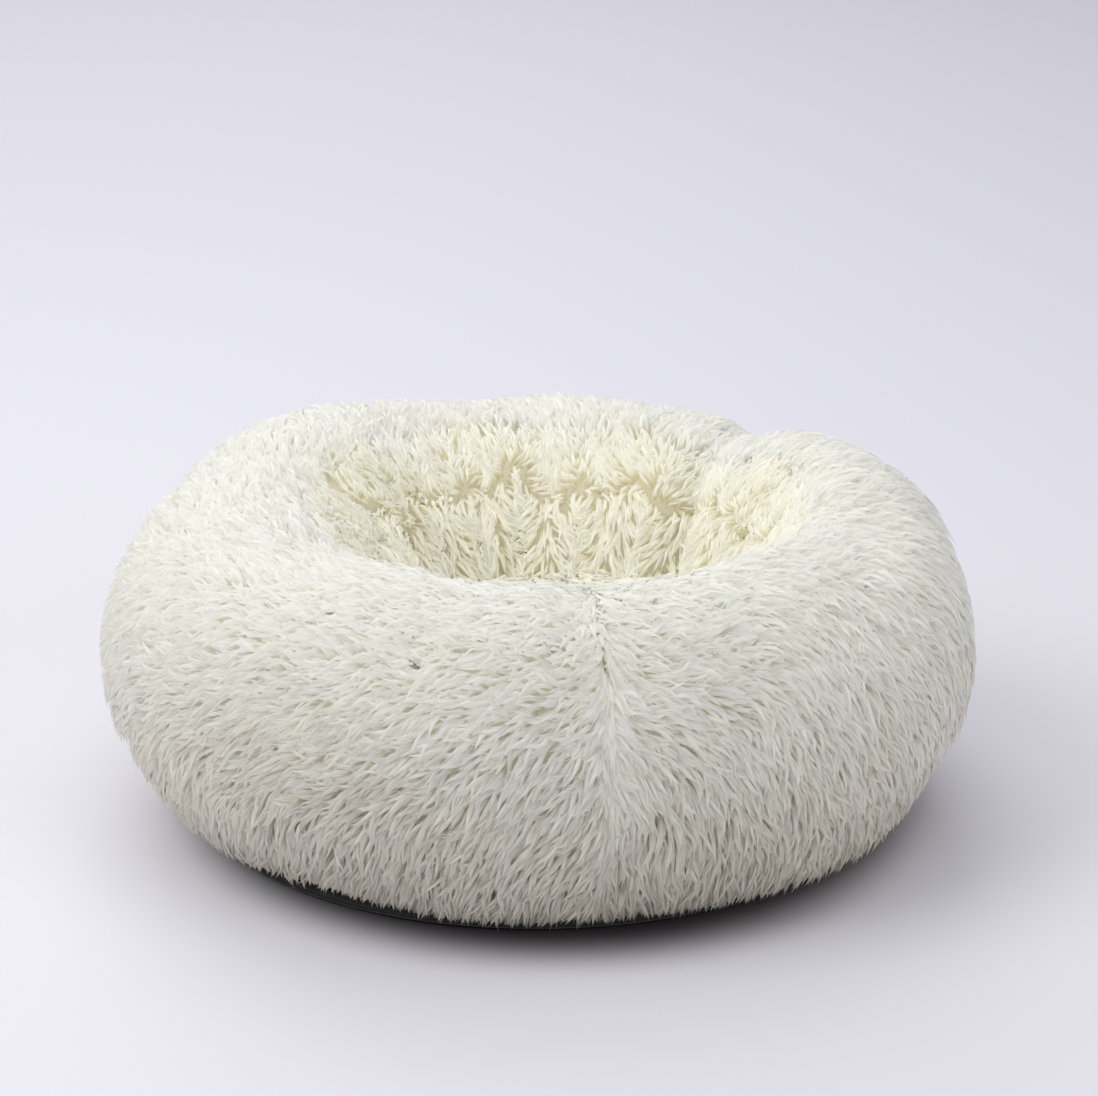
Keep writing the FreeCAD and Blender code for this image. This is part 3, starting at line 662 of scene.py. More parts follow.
@dataclass(frozen=True)
class Grower:
    """Grows tufts on a surface: each path steps along the combed surface and lifts off it."""

    surface: GridSurface
    steps: int = 5
    keep_on: float = 0.55
    root_depth: float = 0.0012
    wave_turn: float = 6.0
    stray: float = 0.2
    unruly: float = 0.16
    base_radius: float = 0.0
    base_top: float = 0.0

    def paths(self, first: np.ndarray, second: np.ndarray, comb: Callable, pile: Pile, draw: Draw,
              size: np.ndarray | float = 1.0) -> Tufts:
        """Follow the combing from each root.

        A path's height over the surface rises fast and then levels out, as lift times one less the square
        of what is left of the way, and its pace along the surface starts slow while the hair stands.

        Args:
            first: the roots' first parameters.
            second: the roots' second parameters.
            comb: a function of both parameters that gives the two parts of the direction.
            pile: the band's measures.
            draw: the random generator.
            size: a share of the band's length and lift, for each root.

        Returns:
            The tufts' paths.
        """
        count = len(first)
        length = size * pile.length * draw.uniform(0.72, 1.22, count)
        lift = size * pile.lift * draw.uniform(0.65, 1.3, count)
        stray = draw.normal(0, self.stray, count)
        phase = draw.uniform(0, FULL_TURN, count)
        share = np.linspace(0, 1, self.steps + 1)
        pace = np.diff(share ** (1 + pile.stand))
        places, normals = [], []
        place, normal, along_first, along_second = self.surface.at(first, second)
        for index, step_share in enumerate(share):
            height = lift * (1 - (1 - step_share) ** 2) - self.root_depth
            side = np.cross(normal, unit(along_first))
            wave = pile.wave * np.sin(phase + self.wave_turn * step_share) * step_share
            sag = pile.droop * step_share ** 2
            lifted = place + normal * height[:, None] + side * wave[:, None]
            lifted[:, 2] -= sag
            places.append(lifted)
            normals.append(normal)
            if index == self.steps:
                break
            part_first, part_second = comb(first, second)
            if index:
                part_first = self.keep_on * before[0] + (1 - self.keep_on) * part_first
                part_second = self.keep_on * before[1] + (1 - self.keep_on) * part_second
                weight = np.maximum(np.hypot(part_first, part_second), 0.2)
                part_first, part_second = part_first / weight, part_second / weight
            before = (part_first, part_second)
            bent_first, bent_second = rotated(part_first, part_second, stray * (1 + step_share))
            advance = length * pace[index]
            first = first + bent_first * advance / np.linalg.norm(along_first, axis=-1)
            second = second + bent_second * advance / np.linalg.norm(along_second, axis=-1)
            place, normal, along_first, along_second = self.surface.at(first, second)
        path = np.stack(places, axis=1)
        heading = unit(np.gradient(path, axis=1))
        outward = np.stack(normals, axis=1)
        across = self.carried(heading, np.cross(path[:, -1] - path[:, 0], outward[:, 0] + outward[:, -1]))
        under = np.cross(heading, across)
        leaning = unit(outward + pile.catch * UPWARD + draw.normal(0, self.unruly, (count, 1, 3)))
        return Tufts(path, across, under, leaning, draw.uniform(0, 1, count), np.ones(count), np.zeros(count))

    def carried(self, heading: np.ndarray, start: np.ndarray) -> np.ndarray:
        """Sideways directions along each path: the first one, squared up to the heading at every step."""
        steps = []
        sideways = unit(start)
        for index in range(heading.shape[1]):
            here = heading[:, index]
            sideways = unit(sideways - here * np.sum(sideways * here, axis=1, keepdims=True))
            steps.append(sideways)
        return np.stack(steps, axis=1)

    def bodies(self, tufts: Tufts, pile: Pile, draw: Draw) -> dict:
        """Give every tuft its lock and its hairs as closed three-sided tapered bodies.

        Args:
            tufts: the paths.
            pile: the band's measures.
            draw: the random generator.

        Returns:
            Points, faces and the attributes of each point.
        """
        crisp = pile.crispness
        batches = [self.spindles(tufts, LOCK_RINGS, pile.lock_width, 0.0, 1.0, 0.62, crisp, draw)]
        for _ in range(pile.hairs):
            reach = draw.uniform(0.85, 1.16, len(tufts.tone))
            batches.append(self.spindles(tufts, HAIR_RINGS, pile.hair_width, pile.spread, reach, 1.0,
                                         crisp, draw))
        points, faces, start = [], [], 0
        for batch in batches:
            points.append(batch["points"])
            faces.append([group + start for group in batch["faces"]])
            start += len(batch["points"])
        kinds = ("reach", "tone", "warmth", "foot_shade", "normals")
        merged = {name: np.concatenate([batch[name] for batch in batches]) for name in kinds}
        merged["points"] = np.concatenate(points)
        merged["faces"] = [np.concatenate([group[kind] for group in faces]) for kind in range(2)]
        return merged

    def spindles(self, tufts: Tufts, rings: tuple, width: float, spread: float, reach: np.ndarray | float,
                 flatness: float, crispness: float, draw: Draw) -> dict:
        """Tapered bodies along the tufts' paths: three-cornered rings that end in a point.

        Args:
            tufts: the paths.
            rings: shares of the way at which there is a ring.
            width: the width at the thickest ring.
            spread: how far the roots stand off the path; the bodies draw together towards the tip.
            reach: how much of the path's length a body has; over 1 it goes on past the end.
            flatness: the thickness as a share of the width.
            crispness: how much the shading follows each body's own roundness, and not the cloth's.
            draw: the random generator.

        Returns:
            Points, faces and the attributes of each point.
        """
        count = len(tufts.tone)
        turn = draw.uniform(0, FULL_TURN, count)
        stand_off = spread * np.sqrt(draw.uniform(0.1, 1, count))
        thick = width * draw.uniform(0.7, 1.25, count)
        reach = np.broadcast_to(reach, (count,))
        last = tufts.places.shape[1] - 1
        shares = np.array([*rings, 1.0])
        position = np.clip(shares[None, :] * reach[:, None], 0, 1.2) * last
        low = np.minimum(position.astype(int), last - 1)
        part = (position - low)[..., None]
        pick = np.arange(count)[:, None]
        centre = tufts.places[pick, low] * (1 - part) + tufts.places[pick, low + 1] * part
        across = tufts.across[pick, low]
        under = tufts.under[pick, low]
        off = stand_off[:, None] * (1 - 0.7 * shares[None, :])
        centre = centre + across * (off * np.cos(turn)[:, None])[..., None]
        centre = centre - under * (np.abs(off * np.sin(turn)[:, None]) * 0.5)[..., None]
        outward = tufts.outward[pick, low]
        taper = (0.62 + 0.9 * shares) * (1 - shares ** 2.2) ** 0.75
        half = 0.5 * thick[:, None] * np.maximum(taper, 0)[None, :]
        wide = across[:, :-1, None, :] * np.cos(SECTION_TURNS)[None, None, :, None]
        deep = under[:, :-1, None, :] * np.sin(SECTION_TURNS)[None, None, :, None]
        ring = centre[:, :-1, None, :] + half[:, :-1, None, None] * (wide + flatness * deep)
        ring_count = len(rings)
        normals = crispness * (wide + deep) + (1 - crispness) * outward[:, :-1, None, :]
        normals = normals.reshape(count, ring_count * 3, 3)
        normals = unit(np.concatenate([normals, outward[:, -1:, :]], axis=1))
        points = np.concatenate([ring.reshape(count, ring_count * 3, 3), centre[:, -1:, :]], axis=1)
        over_base = np.hypot(points[..., 0], points[..., 1]) < self.base_radius
        points[..., 2] = np.maximum(points[..., 2], np.where(over_base, self.base_top, LOWEST_TIP))
        per_body = ring_count * 3 + 1
        quads = grid_quads(ring_count, 3, False, True)[:, ::-1]
        tip = np.array([[(ring_count - 1) * 3 + side, (ring_count - 1) * 3 + (side + 1) % 3, per_body - 1]
                        for side in range(3)])
        root = np.array([[2, 1, 0]])
        base = (np.arange(count) * per_body)[:, None, None]
        triangles = np.concatenate([tip, root])
        along = np.concatenate([np.repeat(shares[:-1], 3), [1.0]])
        return {"points": points.reshape(-1, 3),
                "faces": [(quads[None] + base).reshape(-1, 4), (triangles[None] + base).reshape(-1, 3)],
                "normals": normals.reshape(-1, 3),
                "reach": np.tile(along, count),
                "tone": np.repeat(np.clip(tufts.tone + draw.normal(0, 0.18, count), 0, 1), per_body),
                "warmth": np.repeat(tufts.warmth, per_body),
                "foot_shade": np.repeat(tufts.foot_shade, per_body)}


def even_roots(count: int, seed: int) -> tuple[np.ndarray, np.ndarray]:
    """Evenly scattered pairs of shares: steps of two fixed fractions, each wrapped into 0 to 1."""
    draw = np.random.default_rng(seed)
    number = np.arange(count) + draw.uniform(0, 1)
    return tuple((number * step + draw.uniform(-0.25, 0.25, count) / math.sqrt(count)) % 1
                 for step in SPREAD_STEPS)


def pile_piece(name: str, grown: dict, material: bpy.types.Material) -> bpy.types.Object:
    """Make one object of grown pile, with what its material reads stored on its points."""
    piece = mesh_piece(name, grown["points"], grown["faces"])
    put_normals(piece, grown["normals"])
    # The pile casts no shadows; its darker roots and the backing's colour are painted shade in their place.
    piece.visible_shadow = False
    for attribute in ("reach", "tone", "warmth", "foot_shade"):
        put_attribute(piece, attribute, grown[attribute])
    finish_piece(piece, material)
    return piece


# ---- finishes

class NodeSheet:
    """A short way to add and join shader nodes in one node tree."""

    def __init__(self, tree: bpy.types.NodeTree) -> None:
        """Work in a tree."""
        self.tree = tree

    def add(self, kind: str, inputs: dict | None = None, **settings) -> bpy.types.Node:
        """Add a node, set its properties, and give its inputs values or links."""
        node = self.tree.nodes.new(kind)
        for name, value in settings.items():
            setattr(node, name, value)
        return self.fill(node, inputs or {})

    def fill(self, node: bpy.types.Node, inputs: dict) -> bpy.types.Node:
        """Give a node's inputs values or links."""
        for key, value in inputs.items():
            if isinstance(value, bpy.types.NodeSocket):
                self.tree.links.new(value, node.inputs[key])
            else:
                node.inputs[key].default_value = value
        return node

    def mix(self, share: object, first: object, second: object, blend: str = "MIX") -> bpy.types.NodeSocket:
        """A colour between two, by a share, or the first one multiplied."""
        node = self.add("ShaderNodeMix", {0: share, 6: first, 7: second}, data_type="RGBA", blend_type=blend)
        return node.outputs[2]

    def math(self, operation: str, first: object, second: object = 0.0) -> bpy.types.NodeSocket:
        """The result of one arithmetic step."""
        return self.add("ShaderNodeMath", {0: first, 1: second}, operation=operation).outputs[0]

    def attribute(self, name: str) -> bpy.types.NodeSocket:
        """A number stored on the mesh."""
        return self.add("ShaderNodeAttribute", attribute_name=name, attribute_type="GEOMETRY").outputs["Fac"]


def opaque(colour: Colour) -> tuple[float, float, float, float]:
    """A colour with full alpha."""
    return (*colour, 1.0)


def new_material(name: str) -> tuple[bpy.types.Material, NodeSheet, bpy.types.Node]:
    """A material with one Principled shader, and the sheet to add nodes with."""
    material = bpy.data.materials.new(name)
    material.use_nodes = True
    sheet = NodeSheet(material.node_tree)
    shader = next(node for node in material.node_tree.nodes if node.type == "BSDF_PRINCIPLED")
    return material, sheet, shader


@dataclass(frozen=True)
class PlushFinish:
    """Long artificial fur: warm roots darkened with painted shade, bright tips, and tufts that differ a
    little.
    """

    name: str
    tip: Colour = (0.95, 0.95, 0.892)
    # The roots are darker than the tips as painted shade between the hairs, which cast no shadows.
    root: Colour = (0.66, 0.63, 0.50)
    warm_tip: Colour = (0.985, 0.965, 0.83)
    warm_root: Colour = (0.76, 0.68, 0.42)
    # the colour that the painted shade near the floor multiplies in
    foot_shade_colour: Colour = (0.785, 0.74, 0.665)
    dull: float = 0.94
    root_share: float = 0.05
    tip_share: float = 0.62
    roughness: float = 0.62
    specular: float = 0.3
    sheen: float = 0.25
    sheen_roughness: float = 0.5

    def build(self) -> bpy.types.Material:
        """Colour runs from root to tip along each hair, warms towards the nest, and is darkened near the
        floor by painted shade.
        """
        material, sheet, shader = new_material(self.name)
        reach = sheet.attribute("reach")
        tone = sheet.attribute("tone")
        warmth = sheet.attribute("warmth")
        rise = sheet.add("ShaderNodeMapRange", {"Value": reach, "From Min": self.root_share,
                                                "From Max": self.tip_share},
                         interpolation_type="SMOOTHSTEP").outputs[0]
        # Root to tip: the darker roots are painted shade.
        cool = sheet.mix(rise, opaque(self.root), opaque(self.tip))
        warm = sheet.mix(rise, opaque(self.warm_root), opaque(self.warm_tip))
        colour = sheet.mix(warmth, cool, warm)
        dulled = sheet.mix(1.0, colour, opaque((self.dull, self.dull * 0.985, self.dull * 0.95)), "MULTIPLY")
        unshaded = sheet.mix(tone, dulled, colour)
        # Painted shade: the colour is multiplied darker towards the floor.
        final = sheet.mix(sheet.attribute("foot_shade"), unshaded, opaque(self.foot_shade_colour), "MULTIPLY")
        sheet.fill(shader, {"Base Color": final, "Roughness": self.roughness, "Sheen Weight": self.sheen,
                            "Specular IOR Level": self.specular, "Sheen Roughness": self.sheen_roughness})
        return material


def shared_group(name: str, inputs: dict, outputs: dict) -> tuple[bpy.types.NodeTree, NodeSheet, dict, dict]:
    """A node group with named sockets; returns it with a sheet and its input and output sockets inside.

    Args:
        name: the group's name.
        inputs: socket names with their kinds and first values.
        outputs: socket names with their kinds.

    Returns:
        The group, its sheet, the sockets to read and the sockets to fill.
    """
    tree = bpy.data.node_groups.new(name, "ShaderNodeTree")
    for socket, (kind, value) in inputs.items():
        item = tree.interface.new_socket(name=socket, in_out="INPUT", socket_type=kind)
        item.default_value = value
    for socket, kind in outputs.items():
        tree.interface.new_socket(name=socket, in_out="OUTPUT", socket_type=kind)
    sheet = NodeSheet(tree)
    read = sheet.add("NodeGroupInput").outputs
    fill = sheet.add("NodeGroupOutput").inputs
    return tree, sheet, {name: read[name] for name in inputs}, {name: fill[name] for name in outputs}


@dataclass
class SharedEffects:
    """The node groups that several finishes use."""

    tint: bpy.types.NodeTree = field(init=False)
    weave: bpy.types.NodeTree = field(init=False)

    def __post_init__(self) -> None:
        """Build each group once."""
        self.tint = self.uneven_tint()
        self.weave = self.plain_weave()

    def uneven_tint(self) -> bpy.types.NodeTree:
        """A colour that wanders between a light and a dark one, by fine noise on the object's place."""
        colour = "NodeSocketColor"
        inputs = {"Light": (colour, (1, 1, 1, 1)), "Dark": (colour, (0.5, 0.5, 0.5, 1)),
                  "Scale": ("NodeSocketFloat", 400.0)}
        tree, sheet, read, fill = shared_group("uneven_tint", inputs, {"Colour": colour})
        place = sheet.add("ShaderNodeTexCoord").outputs["Object"]
        noise = sheet.add("ShaderNodeTexNoise", {"Vector": place, "Scale": read["Scale"], "Detail": 3.0})
        tree.links.new(sheet.mix(noise.outputs[0], read["Dark"], read["Light"]), fill["Colour"])
        return tree

    def plain_weave(self) -> bpy.types.NodeTree:
        """Threads over and under: sines of X and of Y, the larger one on top wherever they cross."""
        tree, sheet, read, fill = shared_group(
            "plain_weave", {"Threads": ("NodeSocketFloat", 1500.0)}, {"Height": "NodeSocketFloat"})
        place = sheet.add("ShaderNodeTexCoord").outputs["Object"]
        parts = sheet.add("ShaderNodeSeparateXYZ", {0: place})
        waves = [sheet.math("SINE", sheet.math("MULTIPLY", parts.outputs[axis], read["Threads"]))
                 for axis in range(2)]
        tree.links.new(sheet.math("MULTIPLY", waves[0], waves[1]), fill["Height"])
        return tree


@dataclass(frozen=True)
class PlainFinish:
    """A quiet surface with a fine uneven tint, and a weave if it is cloth."""

    name: str
    light: Colour
    dark: Colour
    grain: float = 400.0
    roughness: float = 0.8
    metallic: float = 0.0
    sheen: float = 0.0
    threads: float = 0.0
    relief: float = 0.35
    relief_depth: float = 0.0004

    def build(self, effects: SharedEffects) -> bpy.types.Material:
        """Tint, and bumps of the weave where there are threads."""
        material, sheet, shader = new_material(self.name)
        tint = sheet.add("ShaderNodeGroup", node_tree=effects.tint)
        sheet.fill(tint, {"Light": opaque(self.light), "Dark": opaque(self.dark), "Scale": self.grain})
        sheet.fill(shader, {"Base Color": tint.outputs["Colour"], "Roughness": self.roughness,
                            "Metallic": self.metallic, "Sheen Weight": self.sheen})
        if self.threads:
            weave = sheet.add("ShaderNodeGroup", node_tree=effects.weave)
            sheet.fill(weave, {"Threads": self.threads})
            bump = sheet.add("ShaderNodeBump", {"Height": weave.outputs["Height"], "Strength": self.relief,
                                                "Distance": self.relief_depth})
            sheet.fill(shader, {"Normal": bump.outputs["Normal"]})
        return material


class Finish(Enum):
    """Every plain finish of the bed."""

    # The backing's beige is partly its own colour and partly painted shade: darkened like the roots where it
    # shows in partings under pile that casts no shadow.
    BACKING = PlainFinish("plush_backing", (0.74, 0.70, 0.55), (0.66, 0.62, 0.47), 260.0, 0.9, threads=2600.0)
    LINING = PlainFinish("lining_cloth", (0.86, 0.86, 0.84), (0.78, 0.78, 0.76), 200.0, 0.85, threads=3200.0)
    FIBRE = PlainFinish("fibre_fill", (0.95, 0.95, 0.94), (0.86, 0.86, 0.85), 900.0, 0.95, sheen=0.4)
    # The base cloth and its tape are near black. The colour is guessed, and chosen so their edge under the
    # front reads as the shadow there: painted shade in part.
    BASE = PlainFinish("base_cloth", (0.060, 0.058, 0.060), (0.040, 0.039, 0.041), 120.0, 0.75,
                       threads=5200.0)
    TAPE = PlainFinish("binding_tape", (0.070, 0.067, 0.068), (0.045, 0.043, 0.045), 500.0, 0.7,
                       threads=7000.0)
    THREAD = PlainFinish("sewing_thread", (0.88, 0.86, 0.80), (0.76, 0.74, 0.68), 1500.0, 0.6)
    RUBBER = PlainFinish("grip_rubber", (0.30, 0.30, 0.31), (0.24, 0.24, 0.25), 90.0, 0.5)
    SATIN = PlainFinish("label_satin", (0.90, 0.895, 0.88), (0.84, 0.835, 0.82), 700.0, 0.35, sheen=0.3,
                        threads=9000.0)
    ZIP_TAPE = PlainFinish("zip_tape", (0.085, 0.083, 0.086), (0.06, 0.058, 0.061), 600.0, 0.8,
                           threads=8000.0)
    NYLON = PlainFinish("zip_nylon", (0.12, 0.12, 0.125), (0.09, 0.09, 0.095), 300.0, 0.35)
    METAL = PlainFinish("zip_metal", (0.72, 0.71, 0.69), (0.58, 0.575, 0.56), 350.0, 0.32, metallic=1.0)


# ---- the ring

class Panel(Enum):
    """The three plush panels: the seam each starts at, and the seam it ends at."""

    RIGHT = ("right", 0, 1)
    BACK = ("back", 1, 2)
    FRONT_LEFT = ("front_left", 2, 0)


@dataclass
class Ring:
    """The stuffed ring with its skin, seams and pile."""

    form: RingForm
    plush: bpy.types.Material
    backing: bpy.types.Material
    surface: GridSurface
    skin_cloth: float = 0.0015
    skin_grid: tuple[int, int] = (100, 60)
    seam_crowding: float = 0.0007
    seam_crowd_width: float = 0.016
    bands: tuple = (
        ("foot", -1.19, -0.20, Pile(9.8e-6, 0.016, 0.0090, hairs=1, droop=0.003, seed=101)),
        ("flank", -0.20, 0.86, Pile(9.6e-6, 0.0150, 0.0105, stand=0.45, wave=0.0016, seed=211)),
        ("crown", 0.86, 1.98, Pile(8.6e-6, 0.014, 0.0125, stand=0.5, wave=0.0016, crispness=0.15, seed=307)),
        ("inner", 1.98, 3.19, Pile(7.1e-6, 0.0130, 0.0100, 0.0025, 0.0010, stand=0.5, wave=0.002,
                                   crispness=0.4, catch=0.45, seed=401)),
    )

    def span(self, panel: Panel) -> tuple[float, float]:
        """The azimuths between which a panel lies, the second one larger."""
        _, start, end = panel.value
        first = self.form.seam_azimuths[start]
        last = self.form.seam_azimuths[end]
        return first, first + (last - first) % FULL_TURN

    def build(self) -> None:
        """Make the skins and all bands of pile."""
        for panel in Panel:
            self.skin(panel)
            for band in self.bands:
                self.grow(panel, *band)

    def skin(self, panel: Panel) -> None:
        """The panel's backing cloth, as a closed thin shell under the pile."""
        first, last = self.span(panel)
        rows, columns = self.skin_grid
        turns = np.linspace(self.form.foot_turn, self.form.nest_turn, columns)
        azimuth, turn = np.meshgrid(np.linspace(first, last, rows), turns, indexing="ij")
        outer, normal = self.surface.at(azimuth, turn)[:2]
        inner = outer - normal * self.skin_cloth
        piece = mesh_piece(f"{panel.value[0]}_panel_backing", *shell_between(outer, inner, False))
        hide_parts(f"rim_panel_{panel.value[0]}")
        finish_piece(piece, self.backing)

    def grow(self, panel: Panel, band: str, low: float, high: float, pile: Pile) -> None:
        """One band of one panel's pile."""
        seed = pile.seed + panel.value[1]
        draw = np.random.default_rng(seed)
        azimuth, turn = self.roots(panel, low, high, seed, pile.tuft_area, draw)
        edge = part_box("base_edge_binding")[1]
        grower = Grower(self.surface, base_radius=edge.x + 0.0005, base_top=edge.z + 0.0002)
        size = 0.34 + 0.66 * ramp(turn, self.form.foot_turn, self.form.foot_turn + 0.5)
        tufts = grower.paths(azimuth, turn, Comb(self.form).direction, pile, draw, size)
        tufts.warmth = 0.12 + 0.88 * ramp(turn + 0.12 * Ripple(41).at(azimuth, turn), 1.75, 2.35)
        # Painted shade: strongest at the foot, fading out towards the crown.
        tufts.foot_shade = 1 - ramp(turn + 0.15 * Ripple(43, 3, 12).at(azimuth, turn), -1.0, 0.9)
        grown = grower.bodies(tufts, pile, draw)
        pile_piece(f"{panel.value[0]}_panel_pile_{band}", grown, self.plush)

    def roots(self, panel: Panel, low: float, high: float, seed: int, tuft_area: float,
              draw: Draw) -> tuple[np.ndarray, np.ndarray]:
        """Even roots over a band of a panel, with more of them close to its two seams.

        Args:
            panel: the panel.
            low: the band's lower turn.
            high: the band's upper turn.
            seed: the seed of the even scatter.
            tuft_area: the area of cloth for each tuft.
            draw: the random generator.

        Returns:
            The roots' azimuths and turns.
        """
        first, last = self.span(panel)
        middle_radius = self.form.centre_radius + self.form.half_width * math.cos((low + high) / 2)
        ring_length = (last - first) * middle_radius
        area = ring_length * (high - low) * (self.form.half_width + self.form.half_height) / 2
        share_first, share_second = even_roots(int(area / tuft_area), seed)
        azimuth = first + (last - first) * share_first
        turn = np.clip(low + (high - low) * share_second, self.form.foot_turn, self.form.nest_turn)
        kept = self.thin_out(turn, middle_radius, draw)
        azimuth, turn = azimuth[kept], turn[kept]
        extra = int((high - low) * self.form.half_height / self.seam_crowding)
        beside = np.abs(draw.normal(0, self.seam_crowd_width, 2 * extra))
        edges = np.concatenate([first + beside[:extra], last - beside[extra:]])
        azimuth = np.concatenate([azimuth, edges])
        turn = np.concatenate([turn, draw.uniform(max(low, self.form.foot_turn), high, 2 * extra)])
        return azimuth, turn

    def thin_out(self, turn: np.ndarray, middle_radius: float, draw: Draw) -> np.ndarray:
        """Keep roots in proportion to the ring's radius at their turn, so that they stand evenly."""
        radius = self.form.centre_radius + self.form.half_width * np.cos(turn)
        return draw.uniform(0, 1, len(turn)) < np.minimum(radius / middle_radius, 1.0)


# ---- the nest

@dataclass
class Nest:
    """The crowned plush cushion in the middle."""

    form: RingForm
    plush: bpy.types.Material
    backing: bpy.types.Material
    pile: Pile = Pile(8.2e-6, 0.016, 0.0115, 0.0026, stand=0.6, wave=0.002, crispness=0.4, catch=0.3,
                      seed=503)
    rows: int = 128
    columns: int = 24
    middle_share: float = 0.004
    field_steps: int = 90

    def build(self) -> None:
        """Make the cushion and its pile."""
        low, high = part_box("nest_panel")
        surface, radius = self.cushion(low.z, high.z)
        self.grow(surface, radius)

    def height(self, x: np.ndarray, y: np.ndarray, radius: float, edge: float, crown: float) -> np.ndarray:
        """A dome that falls faster near its edge, with soft puckers that run in from the seam."""
        share = np.clip(np.hypot(x, y) / radius, 0, 1)
        pucker = 0.0016 * np.cos(np.arctan2(y, x) * self.form.gathers) * ramp(share, 0.45, 0.95)
        return edge + (crown - edge) * (1 - share ** 2.6) + pucker

    def cushion(self, bottom: float, crown: float) -> tuple[GridSurface, float]:
        """The plush disc as a closed crowned form; returns its top face for the pile."""
        radius = self.form.throat_radius + 0.001
        edge = bottom + 0.004
        top = crown - 0.0085
        shift = self.form.throat_shift
        azimuth = around(self.rows)[:, None]
        share = np.linspace(self.middle_share, 1, self.columns)[None, :]
        x, y = radius * share * np.cos(azimuth), radius * share * np.sin(azimuth)
        moved = x + shift * (1 - self.form.shift_loss * np.sin(azimuth) ** 2 * share ** 2)
        upper = np.stack([moved, y, self.height(x, y, radius, edge, top)], axis=-1)
        lower = np.stack([moved, y, np.full_like(x, bottom + 0.0005)], axis=-1)
        piece = mesh_piece("nest_cushion", *shell_between(upper[:, ::-1], lower[:, ::-1], True))
        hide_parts("nest_panel")
        finish_piece(piece, self.backing)
        span = np.linspace(-radius, radius, self.field_steps)
        grid_x, grid_y = np.meshgrid(span, span, indexing="ij")
        heights = self.height(grid_x, grid_y, radius, edge, top)
        places = np.stack([grid_x + shift, grid_y, heights], axis=-1)
        return GridSurface(places, (-radius, radius), (-radius, radius), False), radius

    def comb(self, x: np.ndarray, y: np.ndarray) -> tuple[np.ndarray, np.ndarray]:
        """Brushed towards the front, and swirled by slow waves."""
        heading = -1.3 + 1.0 * np.sin(38 * x + 11 * y) + 0.8 * np.sin(61 * y - 23 * x + 1)
        return np.cos(heading), np.sin(heading)

    def grow(self, surface: GridSurface, radius: float) -> None:
        """Pile over the whole disc."""
        draw = np.random.default_rng(self.pile.seed)
        count = int(math.pi * radius ** 2 / self.pile.tuft_area)
        share_first, share_second = even_roots(count, self.pile.seed)
        reach = radius * 0.985 * np.sqrt(share_second)
        x, y = reach * np.cos(FULL_TURN * share_first), reach * np.sin(FULL_TURN * share_first)
        grower = Grower(surface)
        tufts = grower.paths(x, y, self.comb, self.pile, draw)
        grown = grower.bodies(tufts, self.pile, draw)
        pile_piece("nest_pile", grown, self.plush)


# ---- under the plush

@dataclass
class Stuffing:
    """The lining under the plush and the fibre inside it, of the ring and of the nest's pad."""

    form: RingForm
    materials: dict
    ring_grid: tuple[int, int] = (168, 52)
    pad_grid: tuple[int, int] = (128, 40)
    edge_steps: int = 384

    def build(self) -> None:
        """Make both linings and both fillings."""
        ring_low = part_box("rim_liner")[0].z
        fill_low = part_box("rim_fill")[0].z
        self.tube("rim_liner", "ring_lining", (0.0177, 0.0188), ring_low, Finish.LINING, 0.0002)
        self.tube("rim_fill", "ring_filling", (0.0200,), fill_low, Finish.FIBRE, 0.0011)
        self.drum("nest_pad_liner", "pad_lining", 0.0, Finish.LINING)
        self.drum("nest_pad_fill", "pad_filling", 0.0007, Finish.FIBRE)
        self.nest_allowance()

    def tube(self, node: str, name: str, insets: tuple, lowest: float, finish: Finish, lumps: float) -> None:
        """A closed ring, or a hollow one where there are two insets."""
        rows, columns = self.ring_grid
        azimuth = around(rows)[:, None]
        turn = np.linspace(-math.pi / 2, 3 * math.pi / 2, columns, endpoint=False)[None, :]
        faces = grid_quads(rows, columns, True, True)
        points, groups = [], []
        for index, inset in enumerate(insets):
            depth = inset + lumps * Ripple(61, 8, 40, 24).at(azimuth, turn)
            points.append(self.form.places(azimuth, turn, depth, lowest + 0.0011 * index).reshape(-1, 3))
            groups.append(faces[:, ::-1] + len(points[0]) if index else faces)
        piece = mesh_piece(name, np.concatenate(points), groups)
        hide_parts(node)
        finish_piece(piece, self.materials[finish])

    def drum(self, node: str, name: str, lumps: float, finish: Finish) -> None:
        """The nest's pad: a crowned drum with a full rounded edge."""
        low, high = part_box(node)
        middle, half = (low.z + high.z) / 2, (high.z - low.z) / 2
        rows, columns = self.pad_grid
        azimuth = around(rows)[:, None]
        turn = np.linspace(-math.pi / 2, math.pi / 2, columns)[None, :]
        reach = np.abs(np.cos(turn)) ** 0.28 * (1 - 0.006 * np.cos(azimuth * self.form.gathers))
        reach = reach - lumps / high.x * (1 + Ripple(67, 5, 30, 24).at(azimuth, turn))
        reach = np.clip(reach, 0.002, 0.994)
        height = middle + half * np.sign(np.sin(turn)) * np.abs(np.sin(turn)) ** 0.55
        radius = (high.x - 0.0002) * reach
        places = np.stack([radius * np.cos(azimuth), radius * np.sin(azimuth), height + 0 * radius], axis=-1)
        walls = grid_quads(rows, columns, True, False)
        bottom = (np.arange(rows) * columns)[None, ::-1]
        top = (np.arange(rows) * columns + columns - 1)[None]
        piece = mesh_piece(name, places.reshape(-1, 3), [walls, bottom, top])
        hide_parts(node)
        finish_piece(piece, self.materials[finish])

    def nest_allowance(self) -> None:
        """The gathered cloth edges sewn together round the nest."""
        low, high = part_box("nest_seam_allowance")
        middle_radius = (high.x + self.form.throat_radius + 0.001) / 2
        width = high.x - self.form.throat_radius - 0.0024
        path, outward = circle_path(middle_radius, (low.z + high.z) / 2, self.edge_steps)
        path[:, 2] += 0.0004 * np.sin(around(self.edge_steps) * self.form.gathers * 3)
        outline = rounded_outline(width, high.z - low.z - 0.001, 12)
        piece = mesh_piece("nest_seam_edges", *closed_bar(path, outward, outline))
        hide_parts("nest_seam_allowance")
        finish_piece(piece, self.materials[Finish.BACKING])


